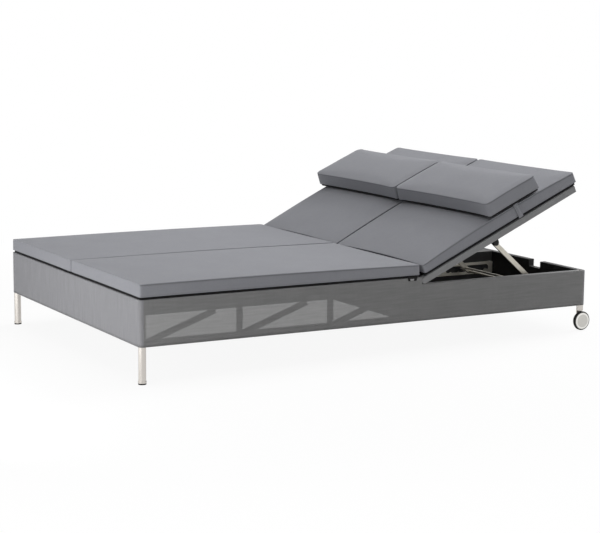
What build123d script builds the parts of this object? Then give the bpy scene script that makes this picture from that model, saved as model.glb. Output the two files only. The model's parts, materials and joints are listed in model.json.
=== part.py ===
from build123d import *
import math
import os

# A double chaise lounger: two reclining places side by side on one low box.
# Deck frame: X across, Y along from foot (minus) to head (plus), Z up from the
# bottom of the foot glides. Right is +X for someone who stands at the foot end
# and looks to the head end. All lengths are millimetres, all angles degrees.

# Box and deck
body_length = 2000.0
body_width = 1336.0
skirt_bottom = 136.5
wall_top = 281.0
seat_length = 1194.0
tube = 25.0
tube_wall = 1.8
skin = 2.0
wrap_gap = 0.2
soft_gap = 0.3
overrun = 5.0

# Side trusses
lower_rail_height = 22.0
upper_rail_height = 28.0
first_bay = 403.0
bay_length = 385.0
brace_width = 18.0
brace_depth = 16.0
diagonal_angle = 19.2
diagonal_rise = 4.0
foot_board_thick = 6.0

# Legs, glides and wheels
leg_radius = 14.0
leg_wall = 2.0
ferrule_radius = 15.6
ferrule_height = 7.0
glide_height = 5.0
glide_radius = 15.0
glide_stem = 22.0
glide_slack = 0.5
stem_split = 119.0
stem_gap = 1.0
stem_spigot = 20.0
stem_cut_gap = 3.0
wheel_radius = 39.0
wheel_width = 23.0
wheel_axis_height = 71.5
hub_radius = 34.0
hub_edge = 1.0
hub_centre_radius = 14.0
tyre_inset = 6.0
tyre_width = 12.0
tyre_round = 3.5
wheel_side_gap = 2.0
axle_radius = 4.0
running_gap = 0.05
axle_blind = 6.0

# Head wall and hand notches
notch_from_side = 317.0
notch_width = 78.0
notch_depth = 30.0
notch_round = 6.0

# Storage wells under the backs
well_front_setback = 64.0
panel = 2.5
partition_width = 80.0

# Seat cushions
seat_cushion_foot_thick = 59.0
seat_cushion_head_thick = 51.0
seat_cushion_rise = 3.0
seat_cushion_crown = 3.0
seat_cushion_end_gap = 8.0
cushion_centre_gap = 5.0
cushion_side_inset = 2.0
cushion_draw = 4.0
cushion_bulge = 2.0

# Backs
hinge_setback = 14.0
back_length = 792.0
back_rest_angle = 24.3
back_centre_gap = 3.0
rail_end_gap = 17.0
hinge_pin_radius = 5.0
lug_thick = 6.0
lug_gap = 1.5
knuckle_solid = 34.0
lower_bar_along = 40.0
back_cushion_start = 13.0
back_cushion_over = 18.0
back_cushion_foot_thick = 47.0
back_cushion_head_thick = 55.0
back_cushion_rise = 13.0
back_cushion_crown = 5.0
strap_recess = 2.6

# Prop that holds a back up
eye_along = 379.0
eye_drop = 37.4
eye_radius = 12.5
eye_thick = 14.0
strut_width = 19.0
strut_thick = 10.0
outer_strut_gap = 11.5
inner_strut_gap = 53.0
rod_rest_share = 0.365
rod_rest_lift = 12.5
ratchet_rod_radius = 5.0
brace_rod_radius = 4.0
brace_rod_offset = 25.0
prop_bolt_radius = 4.0
prop_bolt_head = 6.5
side_play = 1.0
rod_end_play = 2.0

# Ratchet plates
plate_thick = 3.0
plate_standoff = 7.0
standoff_radius = 6.0
plate_from_hinge = 444.0
plate_length = 318.0
plate_height = 51.0
slot_from_hinge = 513.0
slot_length = 227.0
slot_height = 27.0
slot_below_hinge = 81.7
plate_corner = 6.0
hump_radius = 12.0
hump_rise = 9.0
tooth_radius = 8.0
tooth_rise = 3.2

# Head pillows and straps
pillow_end_inset = 167.0
pillow_length = 262.0
pillow_inner_inset = -1.0
pillow_outer_inset = -16.0
pillow_edge_thick = 68.0
pillow_rise = 2.0
pillow_crown = 5.0
pillow_draw = 6.0
pillow_bulge = 4.0
pillow_travel = (-120.0, 90.0)
strap_from_pillow = 140.0
strap_width = 23.0
strap_thick = 1.5
strap_gap = 0.4

# Small loop label on the near seat cushion
tag_length = 46.0
tag_drop = 11.0
tag_rise = 6.0
tag_thick = 1.6
tag_end = 14.0

# Shares chosen by hand
bay_post_shares = (0, 1, 2, 3)
bearer_shares = (0.2, 0.5, 0.8)
cushion_place_shares = (0.0, 0.02, 0.14, 0.5, 0.86, 0.98, 1.0)
cushion_width_shares = (0.25, 0.0, 0.45, 1.0, 0.45, 0.0, 0.25)
cushion_height_shares = (0.0, 0.35, 0.75, 1.0, 0.75, 0.35, 0.0)
cushion_edge_share = 0.12
tooth_shares = (0.12, 0.3, 0.48, 0.66)
hump_share = 0.93

# Values worked out from the sizes above
half_length = body_length / 2
half_width = body_width / 2
deck_top = wall_top + tube + skin
rail_outer = half_width - skin
rail_inner = rail_outer - tube
leg_x = rail_outer - leg_radius
leg_y = half_length - skin - leg_radius
seat_end = seat_length - half_length
well_front = seat_end - well_front_setback
notch_centre = half_width - notch_from_side
hinge_y = seat_end + hinge_setback
hinge_z = deck_top - (tube + skin) / 2
rail_half = tube / 2
head_wall_inner = half_length - skin - tube
partition_half = partition_width / 2
liner_inner = rail_inner - panel
well_floor_top = skirt_bottom + panel
plate_start = hinge_y + plate_from_hinge
plate_end = plate_start + plate_length
slot_start = hinge_y + slot_from_hinge
slot_end = slot_start + slot_length
slot_centre_height = hinge_z - slot_below_hinge
slot_radius = slot_height / 2
inner_plate_face = partition_half + plate_standoff
outer_plate_face = liner_inner - plate_standoff
inner_strut_x = inner_plate_face + plate_thick + inner_strut_gap + strut_thick / 2
outer_strut_x = outer_plate_face - plate_thick - outer_strut_gap - strut_thick / 2
rod_rest_y = slot_start + slot_length * rod_rest_share
rod_rest_z = slot_centre_height - slot_radius + rod_rest_lift
wheel_inner = leg_x + wheel_side_gap
wheel_outer = wheel_inner + wheel_width
tyre_span = (wheel_inner + tyre_inset, wheel_inner + tyre_inset + tyre_width)
cushion_outer = half_width - cushion_side_inset
pillow_start = back_length - pillow_end_inset - pillow_length
strap_along = pillow_start + strap_from_pillow
wheelbase = 2 * leg_y
stand_angle = math.degrees(
    math.atan2(wheel_axis_height, wheelbase)
    - math.asin(wheel_radius / math.hypot(wheel_axis_height, wheelbase))
)


def block(x_range, y_range, z_range):
    """A box from its lowest and highest place on each axis."""
    size = [high - low for low, high in (x_range, y_range, z_range)]
    middle = [(high + low) / 2 for low, high in (x_range, y_range, z_range)]
    return Pos(*middle) * Box(*size)


def rod(start, end, radius):
    """A round bar along X from one place to another."""
    length = end[0] - start[0]
    middle = ((start[0] + end[0]) / 2, start[1], start[2])
    return Pos(*middle) * Rot(0, 90, 0) * Cylinder(radius, length)


def post(x, y, z_range, radius):
    """A round bar along Z."""
    height = z_range[1] - z_range[0]
    return Pos(x, y, (z_range[0] + z_range[1]) / 2) * Cylinder(radius, height)


def tube_along_x(x_range, y_range, z_range):
    """A box-section tube that runs across the lounger."""
    hollow = block(x_range, shrink(y_range), shrink(z_range))
    return block(x_range, y_range, z_range) - hollow


def tube_along_y(x_range, y_range, z_range):
    """A box-section tube that runs along the lounger."""
    hollow = block(shrink(x_range), y_range, shrink(z_range))
    return block(x_range, y_range, z_range) - hollow


def shrink(span):
    return (span[0] + tube_wall, span[1] - tube_wall)


def left_of(shape):
    return mirror(shape, about=Plane.YZ)


def on_back(shape):
    """Moves a shape from the back's own place, hinge at zero, to its rest angle."""
    return Pos(0, hinge_y, hinge_z) * Rot(back_rest_angle, 0, 0) * shape


def back_point(along, rise):
    """Where a place on the back lies in the deck frame."""
    turn = math.radians(back_rest_angle)
    y = hinge_y + along * math.cos(turn) - rise * math.sin(turn)
    z = hinge_z + along * math.sin(turn) + rise * math.cos(turn)
    return y, z


# Legs, glides, wheels and axles
def foot_leg():
    outer = post(leg_x, -leg_y, (glide_height, wall_top), leg_radius)
    ferrule = post(leg_x, -leg_y, (glide_height, glide_height + ferrule_height), ferrule_radius)
    bore = post(leg_x, -leg_y, (glide_height, wall_top), leg_radius - leg_wall)
    return outer + ferrule - bore


def foot_glide():
    """The base is cut level with the ground, which the deck leans to."""
    base = post(leg_x, -leg_y, (-overrun, glide_height), glide_radius)
    stem_top = glide_height + glide_stem
    stem_radius = leg_radius - leg_wall - glide_slack
    stem = post(leg_x, -leg_y, (glide_height, stem_top), stem_radius)
    return base + stem


def head_leg():
    outer = post(leg_x, leg_y, (stem_split + stem_gap, wall_top), leg_radius)
    bore = post(leg_x, leg_y, (stem_split + stem_gap, wall_top), leg_radius - leg_wall)
    return outer - bore


def wheel_stem():
    """The head leg's lower end. Its outer half is cut away to make room for the wheel."""
    low = wheel_axis_height - leg_radius
    barrel = post(leg_x, leg_y, (low, stem_split), leg_radius)
    collar = post(leg_x, leg_y, (stem_split, stem_split + stem_gap), leg_radius - stem_gap)
    spigot_top = stem_split + stem_gap + stem_spigot
    spigot = post(leg_x, leg_y, (stem_split + stem_gap, spigot_top), leg_radius - leg_wall)
    hole = rod((leg_x - leg_radius - overrun, leg_y, wheel_axis_height),
               (leg_x + leg_radius + overrun, leg_y, wheel_axis_height), axle_radius)
    room = block((leg_x, leg_x + 2 * leg_radius), (leg_y - 2 * leg_radius, leg_y + 2 * leg_radius),
                 (low - overrun, wheel_axis_height + wheel_radius + stem_cut_gap))
    return barrel + collar + spigot - hole - room


def wheel_axle():
    start = (leg_x - leg_radius, leg_y, wheel_axis_height)
    end = (wheel_outer - axle_blind - soft_gap, leg_y, wheel_axis_height)
    return rod(start, end, axle_radius)


def wheel_disc():
    """Plain hub with a domed outer face and a blind axle hole."""
    face = tyre_span[1] + hub_edge
    hub = rod((wheel_inner, leg_y, wheel_axis_height), (face, leg_y, wheel_axis_height), hub_radius)
    dome = Pos((face + wheel_outer) / 2, leg_y, wheel_axis_height) * Rot(0, 90, 0) * Cone(
        hub_radius, hub_centre_radius, wheel_outer - face)
    hole = rod((wheel_inner, leg_y, wheel_axis_height),
               (wheel_outer - axle_blind, leg_y, wheel_axis_height), axle_radius + running_gap)
    return hub + dome - hole


def tyre():
    start, end = tyre_span
    outer = rod((start, leg_y, wheel_axis_height), (end, leg_y, wheel_axis_height), wheel_radius)
    outer = fillet(outer.edges().filter_by(GeomType.CIRCLE), tyre_round)
    bore = rod((start, leg_y, wheel_axis_height), (end, leg_y, wheel_axis_height), hub_radius)
    return outer - bore


# Side trusses and end frames
def leg_cutters():
    cutters = []
    for y in (-leg_y, leg_y):
        cutters.append(post(leg_x, y, (-overrun, deck_top), leg_radius))
    return cutters


def rail_levels():
    """Lowest and highest place of the lower and the upper rails of the box."""
    return ((skirt_bottom, skirt_bottom + lower_rail_height),
            (wall_top - upper_rail_height, wall_top))


def side_rails():
    rails = []
    for z_range in rail_levels():
        rail = tube_along_y((rail_inner, rail_outer), (-leg_y, leg_y), z_range)
        for cutter in leg_cutters():
            rail = rail - cutter
        rails.append(rail)
    return rails


def post_places():
    """Middle of each truss post along Y, from the first inner one."""
    first = -half_length + first_bay
    return [first + bay_length * share for share in bay_post_shares]


def between_rails():
    lower, upper = rail_levels()
    return lower[1], upper[0]


def truss_posts():
    x_range = (rail_outer - brace_depth, rail_outer)
    posts = []
    for y in post_places():
        y_range = (y - brace_width / 2, y + brace_width / 2)
        outer = block(x_range, y_range, between_rails())
        posts.append(outer - block(shrink(x_range), shrink(y_range), between_rails()))
    return posts


def truss_diagonals():
    """One brace in each bay, which climbs from the bay's foot end to the upper rail."""
    low, high = between_rails()
    turn = math.radians(diagonal_angle)
    edges = [-leg_y + leg_radius] + post_places() + [leg_y - leg_radius]
    run = (high - low) / math.sin(turn)
    bar = Box(brace_depth, 2 * run, brace_width)
    bar = bar - Box(brace_depth - 2 * tube_wall, 2 * run, brace_width - 2 * tube_wall)
    braces = []
    for number, (start, end) in enumerate(zip(edges, edges[1:])):
        y_low = start if number == 0 else start + brace_width / 2
        y_high = end if number == len(edges) - 2 else end - brace_width / 2
        foot = Pos(rail_outer - brace_depth / 2, y_low,
                   low + diagonal_rise - brace_width / 2 / math.cos(turn))
        bay = block((rail_inner, rail_outer), (y_low, y_high), (low, high))
        braces.append(foot * Rot(diagonal_angle, 0, 0) * bar & bay)
    return braces


def foot_end_rails():
    rails = []
    for z_range in rail_levels():
        y_range = (-half_length + skin, -half_length + skin + tube)
        rail = tube_along_x((-rail_inner, rail_inner), y_range, z_range)
        rail = rail - leg_cutters()[0] - left_of(leg_cutters()[0])
        rails.append(rail)
    return rails


def foot_board():
    """A thin board behind the foot end's mesh, between the rails."""
    y_range = (-half_length + skin, -half_length + skin + foot_board_thick)
    board = block((-rail_inner, rail_inner), y_range, between_rails())
    return board - leg_cutters()[0] - left_of(leg_cutters()[0])


def head_bottom_rail():
    y_range = (head_wall_inner, half_length - skin)
    rail = tube_along_x((-rail_inner, rail_inner), y_range, rail_levels()[0])
    return rail - leg_cutters()[1] - left_of(leg_cutters()[1])


def notch_cutter(y_range):
    """A rounded hand notch through the head wall."""
    x_range = (notch_centre - notch_width / 2, notch_centre + notch_width / 2)
    cutter = block(x_range, y_range, (wall_top - notch_depth, wall_top + overrun))
    low_edges = cutter.edges().filter_by(Axis.Y).group_by(Axis.Z)[0]
    return fillet(low_edges, notch_round)


def head_board():
    y_range = (head_wall_inner, half_length - skin)
    z_range = (skirt_bottom + lower_rail_height, wall_top)
    board = block((-rail_inner, rail_inner), y_range, z_range)
    board = board - leg_cutters()[1] - left_of(leg_cutters()[1])
    cutter = notch_cutter((head_wall_inner - overrun, half_length))
    return board - cutter - left_of(cutter)


# Deck of the seat zone
def rounded_deck(z_range, side):
    """The seat deck's plan, rounded at the foot end corners."""
    plan = block((-side, side), (-half_length + skin, seat_end), z_range)
    corner_edges = plan.edges().filter_by(Axis.Z).group_by(Axis.Y)[0]
    return fillet(corner_edges, leg_radius)


def deck_frame():
    """Welded deck tubes, with round foot corners that the skirt wraps."""
    z_range = (wall_top, wall_top + tube)
    y_range = (-half_length + skin, seat_end)
    y_between = (y_range[0] + tube, y_range[1] - tube)
    plan = rounded_deck(z_range, rail_outer)
    side = plan & block((rail_inner, rail_outer), y_range, z_range)
    side = side - block(shrink((rail_inner, rail_outer)), (y_between[0], y_range[1]), shrink(z_range))
    across = (-rail_inner, rail_inner)
    foot = tube_along_x(across, (y_range[0], y_between[0]), z_range)
    rear = tube_along_x(across, (y_between[1], y_range[1]), z_range)
    centre = tube_along_y((-rail_half, rail_half), y_between, z_range)
    return [side, left_of(side), foot, rear, centre]


def deck_bearers():
    """Cross tubes between the side trusses that carry the deck's centre tube."""
    z_range = (wall_top - tube, wall_top)
    bars = []
    for share in bearer_shares:
        y = -half_length + (well_front + half_length) * share
        bars.append(tube_along_x((-rail_inner, rail_inner), (y - rail_half, y + rail_half), z_range))
    return bars


def seat_sling():
    z_range = (wall_top + tube, deck_top)
    sheet = rounded_deck(z_range, rail_outer)
    right_half = block((side_play / 2, half_width), (-half_length, seat_end), z_range)
    return sheet & right_half


# Skirt of outdoor mesh fabric
def skirt_corner(y_sign, z_range):
    """A quarter turn of skin round a leg."""
    centre_y = y_sign * leg_y
    outer = post(leg_x, centre_y, z_range, leg_radius + skin)
    inner = post(leg_x, centre_y, z_range, leg_radius + wrap_gap)
    y_range = sorted((centre_y, centre_y + y_sign * (leg_radius + skin)))
    quarter = block((leg_x, leg_x + leg_radius + skin), y_range, z_range)
    return (outer - inner) & quarter


def skirt_side():
    y_range = (-leg_y, leg_y)
    lower = block((rail_outer, half_width), y_range, (skirt_bottom, wall_top))
    upper = block((rail_outer, half_width), (-leg_y, seat_end), (wall_top, deck_top))
    return lower + upper


def skirt_foot():
    z_range = (skirt_bottom, deck_top)
    flat = block((-leg_x, leg_x), (-half_length, -half_length + skin), z_range)
    corner = skirt_corner(-1, z_range)
    return flat + corner + left_of(corner)


def skirt_head():
    z_range = (skirt_bottom, wall_top)
    flat = block((-leg_x, leg_x), (half_length - skin, half_length), z_range)
    corner = skirt_corner(1, z_range)
    cutter = notch_cutter((head_wall_inner, half_length + overrun))
    return flat + corner + left_of(corner) - cutter - left_of(cutter)


# Storage wells
def partition():
    """Two walls, a top and a floor strip, which are joined along their edges."""
    y_range = (well_front + panel, head_wall_inner)
    wall_levels = (well_floor_top, wall_top)
    right = block((partition_half - panel, partition_half), y_range, wall_levels)
    between = (-partition_half + panel, partition_half - panel)
    top = block(between, y_range, (wall_top - panel, wall_top))
    floor = block(between, y_range, (well_floor_top, well_floor_top + panel))
    return [right, left_of(right), top, floor]


def bulkhead():
    return block((-rail_inner, rail_inner), (well_front, well_front + panel),
                 (well_floor_top, wall_top))


def well_floor():
    return block((side_play / 2, rail_inner), (well_front, head_wall_inner),
                 (skirt_bottom, well_floor_top))


def well_liner():
    return block((liner_inner, rail_inner), (well_front + panel, head_wall_inner),
                 (well_floor_top, wall_top))


# Ratchet plates
def ratchet_plate(x_range):
    """A plate with a long slot. The prop's rod runs in it and drops behind a hump."""
    y_middle, y_size = (plate_start + plate_end) / 2, plate_end - plate_start
    x_middle = (x_range[0] + x_range[1]) / 2
    centre = slot_centre_height
    plate = Pos(x_middle, y_middle, centre) * Box(plate_thick, y_size, plate_height)
    plate = fillet(plate.edges().filter_by(Axis.X), plate_corner)
    wide = (x_range[0] - overrun, x_range[1] + overrun)
    slot = block(wide, (slot_start + slot_radius, slot_end - slot_radius),
                 (centre - slot_radius, centre + slot_radius))
    for y in (slot_start + slot_radius, slot_end - slot_radius):
        slot = slot + rod((wide[0], y, centre), (wide[1], y, centre), slot_radius)
    run = slot_end - slot_start
    floor = centre - slot_radius
    bumps = [(slot_start + run * hump_share, hump_radius, hump_rise)]
    bumps += [(slot_start + run * share, tooth_radius, tooth_rise) for share in tooth_shares]
    for y, radius, rise in bumps:
        z = floor + rise - radius
        slot = slot - rod((wide[0], y, z), (wide[1], y, z), radius)
    return plate - slot


def ratchet_plates():
    inner = ratchet_plate((inner_plate_face, inner_plate_face + plate_thick))
    outer = ratchet_plate((outer_plate_face - plate_thick, outer_plate_face))
    return [inner, outer]


def ratchet_standoffs():
    """Four spacers behind each plate, near its corners."""
    edge = (plate_height - slot_height) / 4
    ends = (plate_start + slot_start) / 2, (plate_end + slot_end) / 2
    spacers = []
    for y in ends:
        for z in (slot_centre_height - plate_height / 2 + edge,
                  slot_centre_height + plate_height / 2 - edge):
            for x_range in ((partition_half, inner_plate_face), (outer_plate_face, liner_inner)):
                spacers.append(rod((x_range[0], y, z), (x_range[1], y, z), standoff_radius))
    return spacers


# Back hinges
def rail_spans():
    """Where the inner and the outer rail of the right back lie across."""
    inner = (back_centre_gap, back_centre_gap + tube)
    outer = (rail_inner, rail_outer)
    return inner, outer


def lug_spans():
    inner, outer = rail_spans()
    return ((inner[1] + lug_gap, inner[1] + lug_gap + lug_thick),
            (outer[0] - lug_gap - lug_thick, outer[0] - lug_gap))


def hinge_lugs():
    lugs = []
    for span in lug_spans():
        tongue = block(span, (seat_end, hinge_y), (hinge_z - rail_half, hinge_z + rail_half))
        nose = rod((span[0], hinge_y, hinge_z), (span[1], hinge_y, hinge_z), rail_half)
        hole = rod((span[0], hinge_y, hinge_z), (span[1], hinge_y, hinge_z), hinge_pin_radius)
        lugs.append(tongue + nose - hole)
    return lugs


def hinge_pins():
    inner_lug, outer_lug = lug_spans()
    inner_rail, outer_rail = rail_spans()
    inner = rod((inner_rail[0], hinge_y, hinge_z), (inner_lug[1], hinge_y, hinge_z), hinge_pin_radius)
    outer = rod((outer_lug[0], hinge_y, hinge_z), (outer_rail[1], hinge_y, hinge_z), hinge_pin_radius)
    return [inner, outer]


# Back frame, in the back's own place: X across, Y along from the hinge, Z off the deck
def back_rail(x_range):
    """A square rail with a round solid end that turns on its hinge pin."""
    outer = block(x_range, (0, back_length), (-rail_half, rail_half))
    outer = outer + rod((x_range[0], 0, 0), (x_range[1], 0, 0), rail_half)
    pocket = block(shrink(x_range), (knuckle_solid, back_length), shrink((-rail_half, rail_half)))
    hole = rod((x_range[0] - overrun, 0, 0), (x_range[1] + overrun, 0, 0),
               hinge_pin_radius + running_gap)
    return outer - pocket - hole


def back_cross_bars():
    """Lower bar, prop bar and top bar between the two rails."""
    inner, outer = rail_spans()
    bars = []
    for along in (lower_bar_along + rail_half, eye_along, back_length - rail_half):
        y_range = (along - rail_half, along + rail_half)
        bars.append(tube_along_x((inner[1], outer[0]), y_range, (-rail_half, rail_half)))
    return bars


def back_sling():
    inner, outer = rail_spans()
    return block((inner[0], outer[1]), (rail_end_gap, back_length), (rail_half, rail_half + skin))


def eye_spans():
    outer = (outer_strut_x + strut_thick / 2 + side_play,
             outer_strut_x + strut_thick / 2 + side_play + eye_thick)
    inner = (inner_strut_x - strut_thick / 2 - side_play - eye_thick,
             inner_strut_x - strut_thick / 2 - side_play)
    return inner, outer


def prop_eyes():
    """Blocks under the prop bar that carry the struts' bolts."""
    eyes = []
    for span in eye_spans():
        hanger = block(span, (eye_along - eye_radius, eye_along + eye_radius),
                       (-eye_drop, -rail_half))
        nose = rod((span[0], eye_along, -eye_drop), (span[1], eye_along, -eye_drop), eye_radius)
        hole = rod((span[0], eye_along, -eye_drop), (span[1], eye_along, -eye_drop),
                   prop_bolt_radius + running_gap)
        eyes.append(hanger + nose - hole)
    return eyes


# Prop: two struts, the rod that runs in the slots, a brace rod and two bolts
eye_y, eye_z = back_point(eye_along, -eye_drop)
prop_length = math.hypot(rod_rest_y - eye_y, eye_z - rod_rest_z)
prop_angle = math.degrees(math.atan2(eye_z - rod_rest_z, rod_rest_y - eye_y))


def on_prop(shape):
    """Moves a shape from the prop's own place, eye at zero, strut along Y."""
    return Pos(0, eye_y, eye_z) * Rot(-prop_angle, 0, 0) * shape


def strut_spans():
    half = strut_thick / 2
    return ((inner_strut_x - half, inner_strut_x + half),
            (outer_strut_x - half, outer_strut_x + half))


def prop_struts():
    struts = []
    for span in strut_spans():
        bar = block(span, (0, prop_length), (-strut_width / 2, strut_width / 2))
        for y in (0, prop_length):
            bar = bar + rod((span[0], y, 0), (span[1], y, 0), strut_width / 2)
        bores = ((0, prop_bolt_radius), (prop_length, ratchet_rod_radius),
                 (prop_length - brace_rod_offset, brace_rod_radius))
        for y, radius in bores:
            bar = bar - rod((span[0] - overrun, y, 0), (span[1] + overrun, y, 0), radius)
        struts.append(bar)
    return struts


def prop_rods():
    inner, outer = strut_spans()
    start = inner_plate_face - plate_standoff + rod_end_play
    end = outer_plate_face + plate_standoff - rod_end_play
    ratchet_rod = rod((start, prop_length, 0), (end, prop_length, 0), ratchet_rod_radius)
    brace_y = prop_length - brace_rod_offset
    brace_rod = rod((inner[0], brace_y, 0), (outer[1], brace_y, 0), brace_rod_radius)
    return [ratchet_rod, brace_rod]


def prop_bolts():
    """Each bolt is fixed in its strut, has a head on it and turns in its eye."""
    inner_eye, outer_eye = eye_spans()
    inner_strut, outer_strut = strut_spans()
    inner = rod((inner_eye[0], 0, 0), (inner_strut[1], 0, 0), prop_bolt_radius)
    inner = inner + rod((inner_strut[1], 0, 0), (inner_strut[1] + prop_bolt_radius, 0, 0),
                        prop_bolt_head)
    outer = rod((outer_strut[0], 0, 0), (outer_eye[1], 0, 0), prop_bolt_radius)
    outer = outer + rod((outer_strut[0] - prop_bolt_radius, 0, 0), (outer_strut[0], 0, 0),
                        prop_bolt_head)
    return [inner, outer]


# Soft parts
def soft_section(y, inner, outer, bottom, edge, crown, bulge, lip):
    """A cushion's cut across: flat base, rounded sides and a crowned top."""
    low = bottom + lip
    high = bottom + edge
    middle = (inner + outer) / 2
    half_high = (low + high) / 2
    with BuildSketch(Plane((0, y, 0), x_dir=(1, 0, 0), z_dir=(0, -1, 0))) as sketch:
        with BuildLine():
            Line((inner + lip, bottom), (outer - lip, bottom))
            Line((outer - lip, bottom), (outer, low))
            ThreePointArc((outer, low), (outer + bulge, half_high), (outer, high))
            ThreePointArc((outer, high), (middle, high + crown), (inner, high))
            ThreePointArc((inner, high), (inner - bulge, half_high), (inner, low))
            Line((inner, low), (inner + lip, bottom))
        make_face()
    return sketch.sketch


def soft_body(x_range, y_range, bottom, edges, rise, crown, draw, bulge):
    """A cushion: sections lofted along Y, drawn in between its corners."""
    lip = min(edges) * cushion_edge_share
    sections = []
    shares = zip(cushion_place_shares, cushion_width_shares, cushion_height_shares)
    for place, inward, swell in shares:
        y = y_range[0] + (y_range[1] - y_range[0]) * place
        inner = x_range[0] + bulge + draw * inward
        outer = x_range[1] - bulge - draw * inward
        edge = edges[0] + (edges[1] - edges[0]) * place + rise * swell
        sections.append(soft_section(y, inner, outer, bottom, edge, crown * (1 + swell) / 2,
                                     bulge, lip))
    return loft(sections, ruled=True)


def seat_cushion():
    y_range = (-half_length + skin, seat_end - seat_cushion_end_gap)
    return soft_body((cushion_centre_gap / 2, cushion_outer), y_range, deck_top + soft_gap,
                     (seat_cushion_foot_thick, seat_cushion_head_thick), seat_cushion_rise,
                     seat_cushion_crown, cushion_draw, cushion_bulge)


def back_cushion():
    """Its underside is relieved where the pillow's strap slides."""
    y_range = (back_cushion_start, back_length + back_cushion_over)
    bottom = rail_half + skin + soft_gap
    body = soft_body((cushion_centre_gap, cushion_outer), y_range, bottom,
                     (back_cushion_foot_thick, back_cushion_head_thick), back_cushion_rise,
                     back_cushion_crown, cushion_draw, cushion_bulge)
    travel_start = strap_along - strap_width / 2 + pillow_travel[0] - overrun
    travel_end = strap_along + strap_width / 2 + pillow_travel[1] + overrun
    relief = block((0, half_width), (travel_start, travel_end),
                   (bottom - overrun, bottom + strap_recess))
    return body - relief


def strap_levels():
    """Underside of the strap's lower run and underside of its upper run."""
    low = rail_half + skin + soft_gap
    middle_thick = (back_cushion_foot_thick + back_cushion_head_thick) / 2
    high = low + middle_thick + back_cushion_rise + back_cushion_crown + strap_gap
    return low, high


def pillow():
    _, strap_top = strap_levels()
    x_range = (cushion_centre_gap + pillow_inner_inset, cushion_outer - pillow_outer_inset)
    y_range = (pillow_start, pillow_start + pillow_length)
    return soft_body(x_range, y_range, strap_top + strap_thick,
                     (pillow_edge_thick, pillow_edge_thick), pillow_rise,
                     pillow_crown, pillow_draw, pillow_bulge)


def pillow_strap():
    """A band round the back cushion that the pillow slides on."""
    low, high = strap_levels()
    inner = cushion_centre_gap - strap_gap
    outer = cushion_outer + strap_gap
    y_range = (strap_along - strap_width / 2, strap_along + strap_width / 2)
    band = block((inner - strap_thick, outer + strap_thick), y_range, (low, high + strap_thick))
    hole = block((inner, outer), y_range, (low + strap_thick, high))
    return band - hole


def tag():
    """A flat loop that hangs over the skirt's top edge from under the cushion."""
    y_end = seat_end - seat_cushion_end_gap - tag_end
    return block((half_width, half_width + tag_thick), (y_end - tag_length, y_end),
                 (deck_top - tag_drop, deck_top + tag_rise))


# Node tables
def both_sides(shapes):
    """Solids of the right side and their mirror images, for one node."""
    return list(shapes) + [left_of(shape) for shape in shapes]


def base_nodes():
    nodes = {}
    for name, maker in (("foot_leg", foot_leg), ("seat_cushion", seat_cushion),
                        ("skirt_side", skirt_side)):
        nodes[name + "_right"] = [maker()]
        nodes[name + "_left"] = [left_of(maker())]
    for name, maker in (("side_rails", side_rails), ("truss_diagonals", truss_diagonals)):
        nodes[name + "_right"] = maker()
        nodes[name + "_left"] = [left_of(shape) for shape in maker()]
    nodes["foot_glides"] = both_sides([foot_glide()])
    nodes["head_legs"] = both_sides([head_leg()])
    nodes["wheel_stems"] = both_sides([wheel_stem()])
    nodes["wheel_axles"] = both_sides([wheel_axle()])
    nodes["truss_posts"] = both_sides(truss_posts())
    nodes["foot_end_rails"] = foot_end_rails()
    nodes["foot_board"] = [foot_board()]
    nodes["head_bottom_rail"] = [head_bottom_rail()]
    nodes["head_board"] = [head_board()]
    nodes["deck_frame"] = deck_frame()
    nodes["deck_bearers"] = deck_bearers()
    nodes["seat_slings"] = both_sides([seat_sling()])
    nodes["skirt_foot"] = [skirt_foot()]
    nodes["skirt_head"] = [skirt_head()]
    nodes["partition"] = partition()
    nodes["bulkhead"] = [bulkhead()]
    nodes["well_floors"] = both_sides([well_floor()])
    nodes["well_liners"] = both_sides([well_liner()])
    nodes["ratchet_plates"] = both_sides(ratchet_plates())
    nodes["ratchet_standoffs"] = both_sides(ratchet_standoffs())
    nodes["hinge_lugs"] = both_sides(hinge_lugs())
    nodes["hinge_pins"] = both_sides(hinge_pins())
    nodes["tag"] = [tag()]
    return nodes


def back_nodes():
    inner, outer = rail_spans()
    return {
        "back_rail_inner": [back_rail(inner)],
        "back_rail_outer": [back_rail(outer)],
        "back_cross_bars": back_cross_bars(),
        "back_sling": [back_sling()],
        "prop_eyes": prop_eyes(),
        "back_cushion": [back_cushion()],
        "pillow": [pillow()],
        "pillow_strap": [pillow_strap()],
    }


def prop_nodes():
    return {"prop_struts": prop_struts(), "prop_rods": prop_rods(), "prop_bolts": prop_bolts()}


def moving_nodes():
    placed = {name: [on_back(shape) for shape in shapes] for name, shapes in back_nodes().items()}
    placed.update({name: [on_prop(shape) for shape in shapes]
                   for name, shapes in prop_nodes().items()})
    placed["wheel_disc"] = [wheel_disc()]
    placed["tyre"] = [tyre()]
    nodes = {}
    for name, shapes in placed.items():
        nodes[name + "_right"] = shapes
        nodes[name + "_left"] = [left_of(shape) for shape in shapes]
    return nodes


def stand(shape):
    """Leans the deck frame so that glides and wheels both meet level ground."""
    return Rot(-stand_angle, 0, 0) * shape


def all_nodes():
    nodes = {**base_nodes(), **moving_nodes()}
    nodes = {name: [stand(shape) for shape in shapes] for name, shapes in nodes.items()}
    ground = leg_y * math.sin(math.radians(stand_angle))
    below = block((-body_width, body_width), (-body_length, body_length),
                  (ground - body_length, ground))
    nodes["foot_glides"] = [glide - below for glide in nodes["foot_glides"]]
    box = Compound(children=[shape for shapes in nodes.values() for shape in shapes]).bounding_box()
    move = Pos(0, -(box.min.Y + box.max.Y) / 2, -ground)
    return {name: [move * shape for shape in shapes] for name, shapes in nodes.items()}, move


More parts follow.
